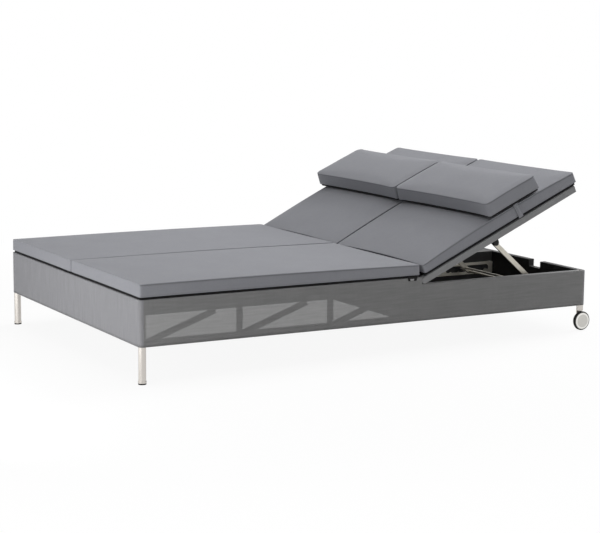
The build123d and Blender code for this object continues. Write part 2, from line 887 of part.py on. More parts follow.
def solids_of(shapes):
    return [solid for shape in shapes for solid in shape.solids()]


os.makedirs("parts", exist_ok=True)
lounger, origin_move = all_nodes()
for node_name, node_shapes in lounger.items():
    export_step(Compound(children=solids_of(node_shapes)), f"parts/{node_name}.step")
print(len(lounger), "nodes, stand angle", round(stand_angle, 3))
print("origin move", [round(value, 4) for value in origin_move.position])
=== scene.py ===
# %% [markdown]
# # A double chaise lounger for the patio
# Two people lie side by side on one low box. Its tubes, hinges, props and wheels come from a imported CAD
# model at their real size. This file dresses that frame: sewn cushions, see-through mesh, steel and rubber.
# Each step first says what the real piece is and why it is made the way that follows.

# %% [markdown]
# ## The frame
# The CAD model loads as fixed objects in metres. Its box is kept.

# %% Load the frame
import json
import math
import random
from itertools import product

import bmesh
import bpy
import numpy as np
from mathutils import Matrix, Vector, noise


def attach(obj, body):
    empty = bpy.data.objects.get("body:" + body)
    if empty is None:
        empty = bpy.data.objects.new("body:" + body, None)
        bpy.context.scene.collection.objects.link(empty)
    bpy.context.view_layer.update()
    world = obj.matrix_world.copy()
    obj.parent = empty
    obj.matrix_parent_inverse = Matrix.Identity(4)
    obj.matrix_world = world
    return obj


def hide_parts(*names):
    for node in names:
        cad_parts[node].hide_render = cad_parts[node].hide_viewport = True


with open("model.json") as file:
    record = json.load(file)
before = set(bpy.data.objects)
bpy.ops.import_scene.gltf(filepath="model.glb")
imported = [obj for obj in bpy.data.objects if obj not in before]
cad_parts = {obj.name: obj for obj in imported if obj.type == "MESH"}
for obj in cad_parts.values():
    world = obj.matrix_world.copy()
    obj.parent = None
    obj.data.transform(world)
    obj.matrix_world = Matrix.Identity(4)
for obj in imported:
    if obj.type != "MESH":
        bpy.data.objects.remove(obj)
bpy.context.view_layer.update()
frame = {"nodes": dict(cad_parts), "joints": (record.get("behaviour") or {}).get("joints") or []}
cad = frame["nodes"]
joints = {joint["name"]: joint for joint in frame["joints"]}
sides = ("left", "right")

# %% [markdown]
# ## Two working spaces
# The deck leans by about one degree, because the wheels are set a little higher than the feet, and each
# back stands at its own angle. Both turn about the same hinge line. Working in a space that lies along the
# deck or along the back keeps every cushion a plain upright box while it is made. A flat node's slope is
# the slope of the line that fits its points best.

# %% Spaces along the deck and along the backs
def slope_of(node):
    """How steeply a flat node climbs from the foot end to the head end, in radians."""
    points = np.array([v.co for v in cad[node].data.vertices])
    y, z = (points[:, 1:] - points[:, 1:].mean(0)).T
    return math.atan2((y * z).sum(), (y * y).sum())


def space_along(node):
    """A space with its origin on the hinge line, its Y along the node and its Z off the node."""
    hinge = Vector(joints["back_right_recline"]["pos_m"]) * Vector((0, 1, 1))
    return Matrix.Translation(hinge) @ Matrix.Rotation(slope_of(node), 4, "X")


def points_in(space, node):
    """A CAD node's points in a space, with a row for each."""
    inverse = space.inverted()
    return np.array([inverse @ v.co for v in cad[node].data.vertices])


def box_in(space, node):
    """Lowest and highest corner of a CAD node in a space."""
    points = points_in(space, node)
    return Vector(points.min(0)), Vector(points.max(0))


deck = space_along("seat_slings")
back = space_along("back_sling_right")
slopes = {node: round(math.degrees(slope_of(node)), 3) for node in ("seat_slings", "back_sling_right")}
print("slopes in degrees:", slopes)

# %% [markdown]
# ## From points and faces to an object
# Each piece is a mesh made in code. It gets a map named cloth in real metres, so that threads keep their
# size on every panel, and it takes the space it was made in as its own transform.

# %% Make an object from points and faces
CLOTH_MAP = "cloth"


def add_object(name, data, place):
    """An object in the scene. Its place is a matrix."""
    item = bpy.data.objects.new(name, data)
    bpy.context.scene.collection.objects.link(item)
    item.matrix_world = place
    return item


def make_piece(name, space, points, faces, places, finish):
    """A smooth mesh object. Places has one flat place in metres for each corner of each face."""
    mesh = bpy.data.meshes.new(name)
    mesh.from_pydata([tuple(p) for p in points], [], faces)
    layer = mesh.uv_layers.new(name=CLOTH_MAP)
    layer.uv.foreach_set("vector", np.array(places, np.float32).ravel())
    mesh.shade_smooth()
    mesh.materials.append(finish)
    mesh.validate()
    return add_object(name, mesh, space)


def sheet_faces(rows, columns, index_of, place_of):
    """Faces of a sheet of points in rows and columns, and the flat place of each face's corners."""
    faces, places = [], []
    for r in range(rows - 1):
        for c in range(columns - 1):
            corners = ((r, c), (r, c + 1), (r + 1, c + 1), (r + 1, c))
            faces.append([index_of(*corner) for corner in corners])
            places += [place_of(*corner) for corner in corners]
    return faces, places


def points_of(mesh):
    """The mesh's points as an array with a row for each."""
    points = np.zeros(len(mesh.vertices) * 3, np.float32)
    mesh.vertices.foreach_get("co", points)
    return points.reshape(-1, 3).astype(float)


def put_points(mesh, points):
    mesh.vertices.foreach_set("co", np.asarray(points, np.float32).ravel())
    mesh.update()


def mark_points(piece, name, values):
    """Writes a number on each of the piece's points, for its material to read."""
    layer = piece.data.attributes.new(name, "FLOAT", "POINT")
    layer.data.foreach_set("value", np.asarray(values, np.float32))


def count_faces(*pieces):
    return sum(len(piece.data.polygons) for piece in pieces)


def declare(piece, body, node):
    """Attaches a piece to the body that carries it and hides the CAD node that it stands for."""
    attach(piece, body)
    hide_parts(node)


# %% [markdown]
# ## Small tools for shader nodes
# Weave, slubs, brushing and dust appear in more than one finish. Each is a node group with named sockets,
# built once and placed in each material with its own values. The shader itself always stays in the
# material.

# %% Node tools
def feed(socket, value):
    """Links a socket to another one, or gives it a plain value."""
    if isinstance(value, bpy.types.NodeSocket):
        socket.id_data.links.new(value, socket)
    else:
        socket.default_value = value


def new_node(tree, kind, *values, **settings):
    """A shader node with its first inputs fed. Settings with a capital are inputs too, with _ for a space."""
    node = tree.nodes.new("ShaderNode" + kind)
    for name, value in settings.items():
        if name[0].isupper():
            feed(node.inputs[name.replace("_", " ")], value)
        else:
            setattr(node, name, value)
    for socket, value in zip(node.inputs, values):
        feed(socket, value)
    return node


def calc(operation, *values):
    """A Math node's result, in the tree of the first socket among its values."""
    tree = next(v.id_data for v in values if isinstance(v, bpy.types.NodeSocket))
    return new_node(tree, "Math", *values, operation=operation).outputs[0]


def clamped(value):
    return calc("MINIMUM", calc("MAXIMUM", value, 0.0), 1.0)


def blend(first, second, share):
    """Share of the first number and the rest of the second."""
    return calc("ADD", calc("MULTIPLY", first, share), calc("MULTIPLY", second, 1 - share))


def wave(operation, turns):
    """Humps from 0 to 1, one for each whole turn."""
    return calc("ABSOLUTE", calc(operation, calc("MULTIPLY", turns, math.pi)))


def axes_of(place):
    return new_node(place.id_data, "SeparateXYZ", place).outputs


def vector_calc(operation, place, value):
    return new_node(place.id_data, "VectorMath", place, value, operation=operation).outputs[0]


def mixed_colour(factor, first, second):
    """A colour between first and second, each a socket or red, green and blue."""
    node = new_node(factor.id_data, "Mix", data_type="RGBA")
    for name, value in (("Factor_Float", factor), ("A_Color", first), ("B_Color", second)):
        socket = next(s for s in node.inputs if s.identifier == name)
        feed(socket, (*value, 1) if isinstance(value, tuple) else value)
    return next(s for s in node.outputs if s.identifier == "Result_Color")


def noise_at(place, scale, stretch=(1, 1, 1), detail=2.0):
    """A Noise texture's value, from 0 to 1, on a place that may be stretched."""
    longer = vector_calc("MULTIPLY", place, stretch)
    return new_node(place.id_data, "TexNoise", Vector=longer, Scale=scale, Detail=detail).outputs["Fac"]


def streaks(place, scale, thin, detail=2.0):
    """Two noises in streaks. They are narrow across the first axis in one and across the second in the other."""
    return [noise_at(place, scale, stretch, detail) for stretch in ((thin, 1, 1), (1, thin, 1))]


def new_group(name, inputs, outputs):
    """An empty node group. Inputs are names with a first value: a number, or None for a place."""
    tree = bpy.data.node_groups.new(name, "ShaderNodeTree")
    for label, value in inputs.items():
        kind = "NodeSocketVector" if value is None else "NodeSocketFloat"
        socket = tree.interface.new_socket(name=label, in_out="INPUT", socket_type=kind)
        if value is not None:
            socket.default_value = value
    for label in outputs:
        tree.interface.new_socket(name=label, in_out="OUTPUT", socket_type="NodeSocketFloat")
    return tree, tree.nodes.new("NodeGroupInput").outputs, tree.nodes.new("NodeGroupOutput").inputs


# %% [markdown]
# ## Woven cloth as a group
# The cushions are covered in a plain weave: one thread goes over, the next goes under. Stretching a sine
# wave across each thread gives it a round back, and a checkerboard of whole numbers says which thread is on
# top. Some threads are thicker along their length. These slubs are what the eye sees from a few steps away.

# %% The plain weave group
SLUB_THINNESS = 12.0


def weave_group():
    """Place and Pitch in metres give the threads' Height and the slubs' Shade, both 0 to 1."""
    tree, given, result = new_group("plain weave", {"Place": None, "Pitch": 0.001, "Slub Length": 0.03},
                                    ("Height", "Shade"))
    across, along = (calc("DIVIDE", axis, given["Pitch"]) for axis in axes_of(given["Place"])[:2])
    odd = calc("FLOORED_MODULO", calc("ADD", calc("FLOOR", across), calc("FLOOR", along)), 2.0)
    over = calc("MULTIPLY", odd, wave("SINE", across))
    under = calc("MULTIPLY", calc("SUBTRACT", 1.0, odd), wave("SINE", along))
    feed(result["Height"], calc("ADD", over, under))
    density = calc("DIVIDE", 1.0, given["Slub Length"])
    slubs = calc("ADD", *streaks(given["Place"], density, SLUB_THINNESS))
    feed(result["Shade"], calc("MULTIPLY", slubs, 0.5))
    return tree


plain_weave = weave_group()
print("group", plain_weave.name, "has", len(plain_weave.nodes), "nodes")

# %% [markdown]
# ## Open mesh as a group
# The box is wrapped in a mesh of coated yarn with a small hole at each crossing, which lets some light
# through. Two cosine waves leave their lowest values in the middle of each hole. The hole's edge is soft,
# so that the mesh blends to an even veil from further away.

# %% The open mesh group
HOLE_EDGE = 6.0
STREAKS_PER_METRE = 9.0
STREAK_THINNESS = 14


def mesh_group():
    """Place and Pitch in metres give the yarn's Height, its Cover and the Shade of its streaks.

    Level is 0 where the streaks run down the cloth and 1 where they run along it.
    """
    inputs = {"Place": None, "Pitch": 0.002, "Hole": 0.5, "Veil": 0.5, "Level": 0.5}
    tree, given, result = new_group("open mesh", inputs, ("Height", "Cover", "Shade"))
    turns = [calc("DIVIDE", axis, given["Pitch"]) for axis in axes_of(given["Place"])[:2]]
    height = calc("MAXIMUM", *(wave("COSINE", turn) for turn in turns))
    feed(result["Height"], height)
    yarn = clamped(calc("MULTIPLY", calc("SUBTRACT", height, given["Hole"]), HOLE_EDGE))
    thin = calc("SUBTRACT", 1.0, given["Veil"])
    feed(result["Cover"], calc("ADD", given["Veil"], calc("MULTIPLY", yarn, thin)))
    down, level = streaks(given["Place"], STREAKS_PER_METRE, STREAK_THINNESS, 3.0)
    turned = calc("MULTIPLY", calc("SUBTRACT", level, down), given["Level"])
    feed(result["Shade"], calc("ADD", down, turned))
    return tree


open_mesh = mesh_group()
print("group", open_mesh.name, "has", len(open_mesh.nodes), "nodes")

# %% [markdown]
# ## Brushing and dust as groups
# Steel tube is brushed along its length, which stretches its reflections. Outdoor pieces also gather a
# little dust, in patches. Both groups read a place in metres, so that one value suits a leg and a bolt
# alike.

# %% Brushed metal and dust groups
def brushed_group():
    """Fine lines along Z or Y, as Height and as a Gloss mask from 0 to 1."""
    inputs = {"Place": None, "Fineness": 900.0, "Length": 0.02}
    tree, given, result = new_group("brushed metal", inputs, ("Height", "Gloss"))
    lines = noise_at(given["Place"], given["Fineness"], (1, 0.03, 0.03))
    feed(result["Height"], lines)
    patches = noise_at(given["Place"], calc("DIVIDE", 1.0, given["Length"]), (1, 1, 0.3))
    feed(result["Gloss"], blend(lines, patches, 0.6))
    return tree


def dust_group():
    """Soft patches from 0 to 1, with Amount from none to everywhere."""
    tree, given, result = new_group("dust", {"Place": None, "Patch Size": 0.08, "Amount": 0.5}, ("Mask",))
    patches = noise_at(given["Place"], calc("DIVIDE", 1.0, given["Patch Size"]), detail=4.0)
    edge = calc("SUBTRACT", patches, calc("SUBTRACT", 1.0, given["Amount"]))
    feed(result["Mask"], clamped(calc("MULTIPLY", edge, 3.0)))
    return tree


brushed = brushed_group()
dust = dust_group()
print("groups", brushed.name, "and", dust.name)

# %% [markdown]
# ## Building a finish
# Every finish starts from one Principled shader. Numbers that are the same all over are set on the shader,
# and only what changes over the surface comes from nodes.

# %% Material tools
def new_finish(name, colour, roughness, metallic=0.0, sheen=0.0, specular=0.5):
    """A material, its tree and its shader."""
    material = bpy.data.materials.new(name)
    material.use_nodes = True
    shader = material.node_tree.nodes["Principled BSDF"]
    for label, value in (("Base Color", (*colour, 1)), ("Roughness", roughness), ("Metallic", metallic),
                         ("Sheen Weight", sheen), ("Specular IOR Level", specular)):
        shader.inputs[label].default_value = value
    return material, material.node_tree, shader


def place_group(group, place, **values):
    """Puts a group in the place's tree. A value's name is the socket's, with _ for a space."""
    return new_node(place.id_data, "Group", node_tree=group, Place=place, **values).outputs


def cloth_place(tree):
    return new_node(tree, "UVMap", uv_map=CLOTH_MAP).outputs["UV"]


def solid_place(tree):
    return tree.nodes.new("ShaderNodeTexCoord").outputs["Object"]


def mark_on(tree, name):
    """A number that the mesh's points carry."""
    return new_node(tree, "Attribute", attribute_name=name).outputs["Fac"]


def add_colour(shader, factor, first, second):
    """The base colour runs from first to second as the factor runs from 0 to 1."""
    feed(shader.inputs["Base Color"], mixed_colour(factor, first, second))


def add_bump(shader, height, strength, distance):
    bump = new_node(shader.id_data, "Bump", Strength=strength, Distance=distance, Height=height)
    feed(shader.inputs["Normal"], bump.outputs["Normal"])


def contrast(value, gain):
    """Spreads a noise value about its middle and keeps it from 0 to 1."""
    return clamped(calc("MULTIPLY_ADD", value, gain, 0.5 - gain / 2))


# %% [markdown]
# ## Cushion cloth
# A mid-grey outdoor canvas with a bluish cast. Close up it shows its threads, further off only faint slubs.
# Along the seams the colour is painted darker: painted shade for the shadow that the fold holds, and in
# part the two layers that meet there. The seam's place is a number on the mesh's points, which the cushion
# code writes.

# %% Cushion cloth
SEAM_AND_SHADE = "seam_and_shade"
THREAD_PITCH = 0.0011


def cushion_cloth():
    material, tree, shader = new_finish("cushion cloth", (0.29, 0.295, 0.32), 0.88, sheen=0.1, specular=0.2)
    place = cloth_place(tree)
    weave = place_group(plain_weave, place, Pitch=THREAD_PITCH, Slub_Length=0.035)
    drift = noise_at(place, 7.0, detail=3.0)
    tone = blend(contrast(weave["Shade"], 2.2), contrast(drift, 1.6), 0.6)
    cloth = mixed_colour(tone, (0.27, 0.274, 0.298), (0.322, 0.327, 0.354))
    gaps = calc("MULTIPLY", calc("SUBTRACT", 1.0, weave["Height"]), 0.25)
    threads = mixed_colour(gaps, cloth, (0.175, 0.178, 0.195))
    # The seam mark paints shade where the fold is.
    seam_shade = calc("MULTIPLY", mark_on(tree, SEAM_AND_SHADE), 0.5)
    add_colour(shader, seam_shade, threads, (0.045, 0.046, 0.05))
    add_bump(shader, weave["Height"], 0.35, 0.0004)
    return material


cushion_finish = cushion_cloth()
print(cushion_finish.name, len(cushion_finish.node_tree.nodes), "nodes")

# %% [markdown]
# ## Mesh cloth, see-through and wrapped
# The skirt's mesh lets the truss behind it show, so its cover feeds Alpha. Its yarn makes fine streaks,
# level on the long sides and upright at the two ends. The ends are a lit copy of the same mesh: their
# colours are painted lighter and a little bluer than the long sides', as painted light. Along its lower
# edge a folded hem is darker. Where the same mesh is wrapped tight round a tube nothing shows through, so
# the wrapped finish keeps the yarn's look and stays solid. Tubes have no map, so they read their place in
# space, where the yarn's lines cross on every side of the tube.

# %% Mesh finishes
MESH_PITCH = 0.0022
HEM = "hem"


def see_through_mesh(name, level, dark, light):
    """Mesh whose colour runs from dark to light along its streaks."""
    material, tree, shader = new_finish(name, (0.33, 0.33, 0.335), 0.7, specular=0.3)
    weave = place_group(open_mesh, cloth_place(tree), Pitch=MESH_PITCH, Hole=0.74, Veil=0.71, Level=level)
    cloth = mixed_colour(contrast(weave["Shade"], 2.2), dark, light)
    hem = mark_on(tree, HEM)
    add_colour(shader, calc("MULTIPLY", hem, 0.6), cloth, (0.1, 0.1, 0.1))
    feed(shader.inputs["Alpha"], calc("MAXIMUM", weave["Cover"], hem))
    add_bump(shader, weave["Height"], 0.4, 0.0006)
    return material


def wrapped_mesh():
    material, tree, shader = new_finish("wrapped mesh", (0.25, 0.25, 0.255), 0.72, specular=0.3)
    weave = place_group(open_mesh, solid_place(tree), Pitch=MESH_PITCH, Hole=0.5, Veil=0.6)
    cloth = mixed_colour(contrast(weave["Shade"], 1.6), (0.24, 0.241, 0.245), (0.295, 0.296, 0.3))
    add_colour(shader, weave["Cover"], (0.1, 0.1, 0.102), cloth)
    add_bump(shader, weave["Height"], 0.4, 0.0005)
    return material


side_mesh = see_through_mesh("see-through mesh", 0.75, (0.22, 0.22, 0.22), (0.274, 0.274, 0.273))
# The ends' colours are painted lighter and bluer than the sides', as painted light.
end_mesh_painted_lighter = see_through_mesh("end mesh painted lighter", 0.15, (0.254, 0.254, 0.268), (0.314, 0.314, 0.33))
wrapped_finish = wrapped_mesh()
print(side_mesh.name, end_mesh_painted_lighter.name, wrapped_finish.name)

# %% [markdown]
# ## Black base cloth and painted gap shade
# The underside of every cushion is an airy black net that lets rain drain. It shows as the thin black line
# between a cushion and what it lies on. It is black there partly as painted shade, because that line is
# also the contact shadow in the gap.

# %% Black base cloth and painted gap shade
# These near-black colours are partly painted shade for the gap under each cushion.
def base_cloth_and_gap_shade():
    material, tree, shader = new_finish("black base cloth and painted gap shade", (0.012, 0.012, 0.013), 0.9, specular=0.15)
    weave = place_group(open_mesh, cloth_place(tree), Pitch=0.003, Hole=0.5, Veil=0.2)
    add_colour(shader, weave["Cover"], (0.004, 0.004, 0.004), (0.016, 0.016, 0.017))
    add_bump(shader, weave["Height"], 0.5, 0.0008)
    return material


base_and_gap_shade_finish = base_cloth_and_gap_shade()
print(base_and_gap_shade_finish.name)

# %% [markdown]
# ## Metals
# The legs are satin stainless tube with a warm cast. The props are plainer galvanised steel, a little
# darker and rougher, and the ratchet plates are paler. The wheel discs are cast alloy. The roughness of
# each varies.

# %% Metal finishes
def brushed_metal(name, colour, smooth, rough, dull, dust_amount):
    """A metal whose roughness runs from smooth to rough, with some dull dust on it."""
    material, tree, shader = new_finish(name, colour, rough, metallic=1.0)
    place = solid_place(tree)
    lines = place_group(brushed, place)
    patches = place_group(dust, place, Patch_Size=0.03, Amount=dust_amount)
    add_colour(shader, patches["Mask"], colour, dull)
    feed(shader.inputs["Roughness"], calc("MULTIPLY_ADD", lines["Gloss"], rough - smooth, smooth))
    add_bump(shader, lines["Height"], 0.12, 0.0002)
    return material


def add_rim(finish, centre, radius, width, bright, dull):
    """Makes a metal bright in a ring about an axle along X, and a little duller inside it."""
    tree = finish.node_tree
    _, y, z = axes_of(vector_calc("SUBTRACT", solid_place(tree), centre))
    away = calc("SQRT", calc("ADD", calc("MULTIPLY", y, y), calc("MULTIPLY", z, z)))
    ring = calc("LESS_THAN", calc("ABSOLUTE", calc("SUBTRACT", away, radius)), width / 2)
    add_colour(tree.nodes["Principled BSDF"], ring, dull, bright)


metals = (("leg steel", (0.57, 0.54, 0.505), 0.22, 0.5, (0.48, 0.455, 0.42), 0.35),
          ("prop steel", (0.54, 0.515, 0.455), 0.3, 0.6, (0.41, 0.385, 0.325), 0.45),
          ("plate steel", (0.8, 0.765, 0.68), 0.35, 0.6, (0.7, 0.665, 0.58), 0.4),
          ("wheel alloy", (0.62, 0.61, 0.575), 0.28, 0.55, (0.5, 0.49, 0.45), 0.4))
leg_finish, prop_finish, plate_finish, wheel_finish = (brushed_metal(*values) for values in metals)
hub = Vector(joints["wheel_right_spin"]["pos_m"])
RIM_RADIUS, RIM_WIDTH = 0.0295, 0.006
add_rim(wheel_finish, (0, hub.y, hub.z), RIM_RADIUS, RIM_WIDTH, (0.8, 0.79, 0.76), (0.56, 0.55, 0.52))
print([values[0] for values in metals])

# %% [markdown]
# ## Plastic, rubber and panels
# The glides and the props' eye blocks are moulded black plastic with a fine grain. The tyre is matt rubber.
# The storage wells are lined with near-black board, and a little dust keeps them from looking like holes.

# %% Dark finishes
def dark_finish(name, colour, roughness, dusty, amount, grain, depth):
    """A dark moulded or painted surface with fine grain and faint dust."""
    material, tree, shader = new_finish(name, colour, roughness, specular=0.22)
    place = solid_place(tree)
    patches = place_group(dust, place, Patch_Size=0.06, Amount=amount)
    add_colour(shader, patches["Mask"], colour, dusty)
    feed(shader.inputs["Roughness"], calc("MULTIPLY_ADD", patches["Mask"], 0.15, roughness))
    add_bump(shader, noise_at(place, grain, detail=3.0), 0.25, depth)
    return material


darks = (("black plastic", (0.006, 0.006, 0.006), 0.42, (0.016, 0.0155, 0.0145), 0.4, 1500, 0.0002),
         ("tyre rubber", (0.014, 0.014, 0.014), 0.68, (0.035, 0.034, 0.032), 0.45, 900, 0.0003),
         ("well panel", (0.018, 0.018, 0.019), 0.55, (0.036, 0.036, 0.037), 0.5, 400, 0.0004),
         ("divider panel", (0.05, 0.05, 0.051), 0.5, (0.085, 0.084, 0.082), 0.5, 400, 0.0004))
plastic_finish, tyre_finish, panel_finish, divider_finish = (dark_finish(*values) for values in darks)
print([values[0] for values in darks])

# %% [markdown]
# ## Finishes on the CAD nodes
# A node whose shape is already right stays, and only its material changes. The list below is by material,
# with the nodes that share it.

# %% Dress the CAD nodes
def both(*names):
    return [f"{name}_{side}" for name in names for side in sides]


finishes = {
    wrapped_finish: both("side_rails", "truss_diagonals", "back_rail_inner", "back_rail_outer",
                         "back_cross_bars") + ["truss_posts", "foot_end_rails", "foot_board",
                                               "head_bottom_rail", "deck_frame", "deck_bearers", "hinge_pins"],
    leg_finish: both("foot_leg") + ["head_legs", "wheel_stems", "wheel_axles"],
    prop_finish: both("prop_struts", "prop_rods"),
    plate_finish: ["ratchet_plates", "ratchet_standoffs"],
    plastic_finish: both("prop_eyes", "prop_bolts") + ["foot_glides", "hinge_lugs"],
    tyre_finish: both("tyre"),
    panel_finish: ["bulkhead", "well_floors", "well_liners", "head_board"],
    divider_finish: ["partition"],
    wheel_finish: both("wheel_disc"),
}
for finish, names in finishes.items():
    for name in names:
        for material_slot in cad[name].material_slots:
            material_slot.material = finish
print("dressed", sum(len(names) for names in finishes.values()), "CAD nodes")

# %% [markdown]
# ## A box made of cloth panels
# A boxed cushion is sewn from a top panel, a bottom panel and a strip, the boxing, that goes round. The
# mesh copies that: a closed box with grid lines on every face, closer together near the edges, where the
# seams and the roundest shapes are. Its corners are rounded in plan by pushing each square corner onto a
# circle.

# %% The cushion's first shape
def grid_lines(low, high, step, margins):
    """Places from low to high, with the margins' places at both ends and even steps between."""
    first = [low + m for m in margins]
    last = [high - m for m in reversed(margins)]
    count = max(1, round((last[0] - first[-1]) / step))
    return first + [first[-1] + (last[0] - first[-1]) * i / count for i in range(1, count)] + last


def box_grid(*lines):
    """Points, faces and cloth places of a closed box, from its grid lines in x, y and z."""
    index, points, faces, places = {}, [], [], []
    for axis, flipped in ((2, True), (0, True), (1, False)):
        u, v = (other for other in range(3) if other != axis)
        for end, flip in ((0, flipped), (len(lines[axis]) - 1, not flipped)):
            ring = ((0, 1), (1, 1), (1, 0), (0, 0)) if flip else ((0, 0), (1, 0), (1, 1), (0, 1))
            for i, j in product(range(len(lines[u]) - 1), range(len(lines[v]) - 1)):
                faces.append([])
                for more_u, more_v in ring:
                    at = [end] * 3
                    at[u], at[v] = i + more_u, j + more_v
                    corner = index.setdefault(tuple(at), len(points))
                    if corner == len(points):
                        points.append([line[number] for line, number in zip(lines, at)])
                    faces[-1].append(corner)
                    places.append((points[corner][u], points[corner][v]))
    return np.array(points), faces, places


def round_corners(points, low, high, radius):
    """Pushes the four upright corners of a box onto circles. Radius is a number, or one for each point."""
    radius = np.broadcast_to(radius, len(points))
    for axis_pair in ((0, 0), (0, 1), (1, 0), (1, 1)):
        ends = [high[a] if axis_pair[a] else low[a] for a in (0, 1)]
        signs = [1 if axis_pair[a] else -1 for a in (0, 1)]
        out = np.stack([(points[:, a] - ends[a]) * signs[a] + radius for a in (0, 1)], 1)
        near = (out > 0).all(1)
        longest = out[near].max(1)
        scale = longest / np.maximum(np.hypot(*out[near].T), 1e-9)
        for a in (0, 1):
            points[near, a] = ends[a] + signs[a] * (out[near, a] * scale - radius[near])
    return points


# %% [markdown]
# ## Filling the cover
# The foam presses the cover outwards. Cloth simulation with a little inside pressure shows where the panels
# swell, where the seams hold them back and where small puckers form. Foam keeps its shape, so no point may
# go further than a small cap. The start is therefore a slightly smaller box, and a fixed seed moves its
# points a hair, so that the left and the right cushion don't crease alike.

# %% Press the cover outwards
def simulate_pressure(piece, pressure, frames=20):
    """The piece's points after some frames of cloth under pressure, with no gravity."""
    scene = bpy.context.scene
    cloth = piece.modifiers.new("cloth", "CLOTH")
    cloth.settings.quality = 4
    cloth.settings.mass = 0.35
    cloth.settings.tension_stiffness = cloth.settings.compression_stiffness = 25
    cloth.settings.shear_stiffness = 12
    cloth.settings.bending_stiffness = 0.6
    cloth.settings.use_pressure = True
    cloth.settings.uniform_pressure_force = pressure
    cloth.settings.effector_weights.gravity = 0
    cloth.point_cache.frame_start, cloth.point_cache.frame_end = 1, frames
    cloth.collision_settings.use_collision = False
    for number in range(1, frames + 1):
        scene.frame_set(number)
    moved = piece.evaluated_get(bpy.context.evaluated_depsgraph_get()).to_mesh()
    result = points_of(moved)
    piece.modifiers.remove(cloth)
    scene.frame_set(1)
    return result


def fill_cover(piece, pressure, cap, seed):
    """Swells the piece by pressure, but nowhere by more than cap."""
    start = points_of(piece.data)
    random.seed(seed)
    hair = 0.0002
    put_points(piece.data, start + np.array([[random.uniform(-hair, hair) for _ in range(3)] for _ in start]))
    move = simulate_pressure(piece, pressure) - start
    length = np.maximum(np.linalg.norm(move, axis=1), 1e-9)
    put_points(piece.data, start + move * (cap * np.tanh(length / cap) / length)[:, None])


def fit_to_box(piece, low, high):
    """Stretches the piece evenly, so that it fills the box that the CAD solid gives it."""
    points = points_of(piece.data)
    now_low, now_high = points.min(0), points.max(0)
    share = (points - now_low) / (now_high - now_low)
    put_points(piece.data, np.array(low) + share * (np.array(high) - np.array(low)))


def subdivide(piece):
    """Adds one level of subdivision and keeps the result."""
    piece.modifiers.new("smoother", "SUBSURF").levels = 1
    graph = bpy.context.evaluated_depsgraph_get()
    finer = bpy.data.meshes.new_from_object(piece.evaluated_get(graph), preserve_all_data_layers=True,
                                            depsgraph=graph)
    piece.modifiers.clear()
    piece.data = finer
    finer.shade_smooth()


# %% [markdown]
# ## Sewing the seams
# The top panel turns a few millimetres down over the edge before it meets the boxing. There the seam draws
# the cover in, in a narrow furrow that catches shadow. The points on the seam carry a weight, which
# subdivision spreads to their neighbours, and the furrow follows that weight inwards. The cloth's colour
# reads the same weight and paints shade into the furrow.

# %% Draw the seams in
def sew_seams(piece, depth):
    """Moves the marked points inwards along their normals."""
    mesh = piece.data
    weights = np.zeros(len(mesh.vertices), np.float32)
    mesh.attributes[SEAM_AND_SHADE].data.foreach_get("value", weights)
    normals = np.array([v.normal for v in mesh.vertices])
    furrow = weights * weights * (3 - 2 * weights)
    put_points(mesh, points_of(mesh) - normals * (depth * furrow)[:, None])
    # The furrow's weight is kept as the mark by which the cloth paints shade in the seam.
    mesh.attributes[SEAM_AND_SHADE].data.foreach_set("value", furrow.astype(np.float32))


# %% [markdown]
# ## The boxed cushion
# This puts the steps together. The cushion takes its length, width and height from the CAD solid that
# stands in its place. A rise says how much higher the middle is than the ends, and a crown how much the
# panel is domed. A separate black base, set in from the sides, carries the cover and leaves the dark line
# under it, which partly stands for painted shade in that gap. Both ride with the body that carries the CAD
# cushion, and both take its place.

# %% Build a boxed cushion
SEAM_DROP = 0.0034
LOWER_SEAM = 0.35
INNER_SHARE = 0.25
EDGE_MARGINS = (0, 0.0022, 0.006, 0.014)
BOXING_STEP = 0.01
BASE_STEPS = (0.04, 0.02, 0.004)
BASE_MARGINS = ((0, 0.002, 0.006), (0, 0.002, 0.006), (0, 0.001))
BASE_CORNER = 0.012
BASE_INSET = 0.005
BASE_OVERLAP = 0.003


def swell(points, low, high, shape):
    """Lifts the top towards the middle, tapers it along its length and draws the sides in."""
    share = (points - low) / (high - low)
    along, across = (np.clip(share[:, a], 0, 1) for a in (1, 0))
    dome = np.sin(np.pi * across) ** 0.5 * np.sin(np.pi * along) ** 0.5
    outward = across if low[0] + high[0] > 0 else 1 - across
    lift = shape["rise"] * np.sin(np.pi * along) + shape["crown"] * dome
    lift += shape["foot_crown"] * np.sin(np.pi * across) * (1 - along) ** 6
    lift -= np.interp(outward, (0, 1), shape["taper"]) * (along - 0.5)
    points[:, 2] += share[:, 2] * lift
    for axis, other in ((0, along), (1, across)):
        middle = (low[axis] + high[axis]) / 2
        half = (high[axis] - low[axis]) / 2
        pull = shape["draw"] * np.sin(np.pi * other) ** 0.6
        if axis == 0:
            pull *= np.where((points[:, 0] - middle) * middle < 0, INNER_SHARE, 1)
        points[:, axis] -= (points[:, axis] - middle) / half * pull
    return points


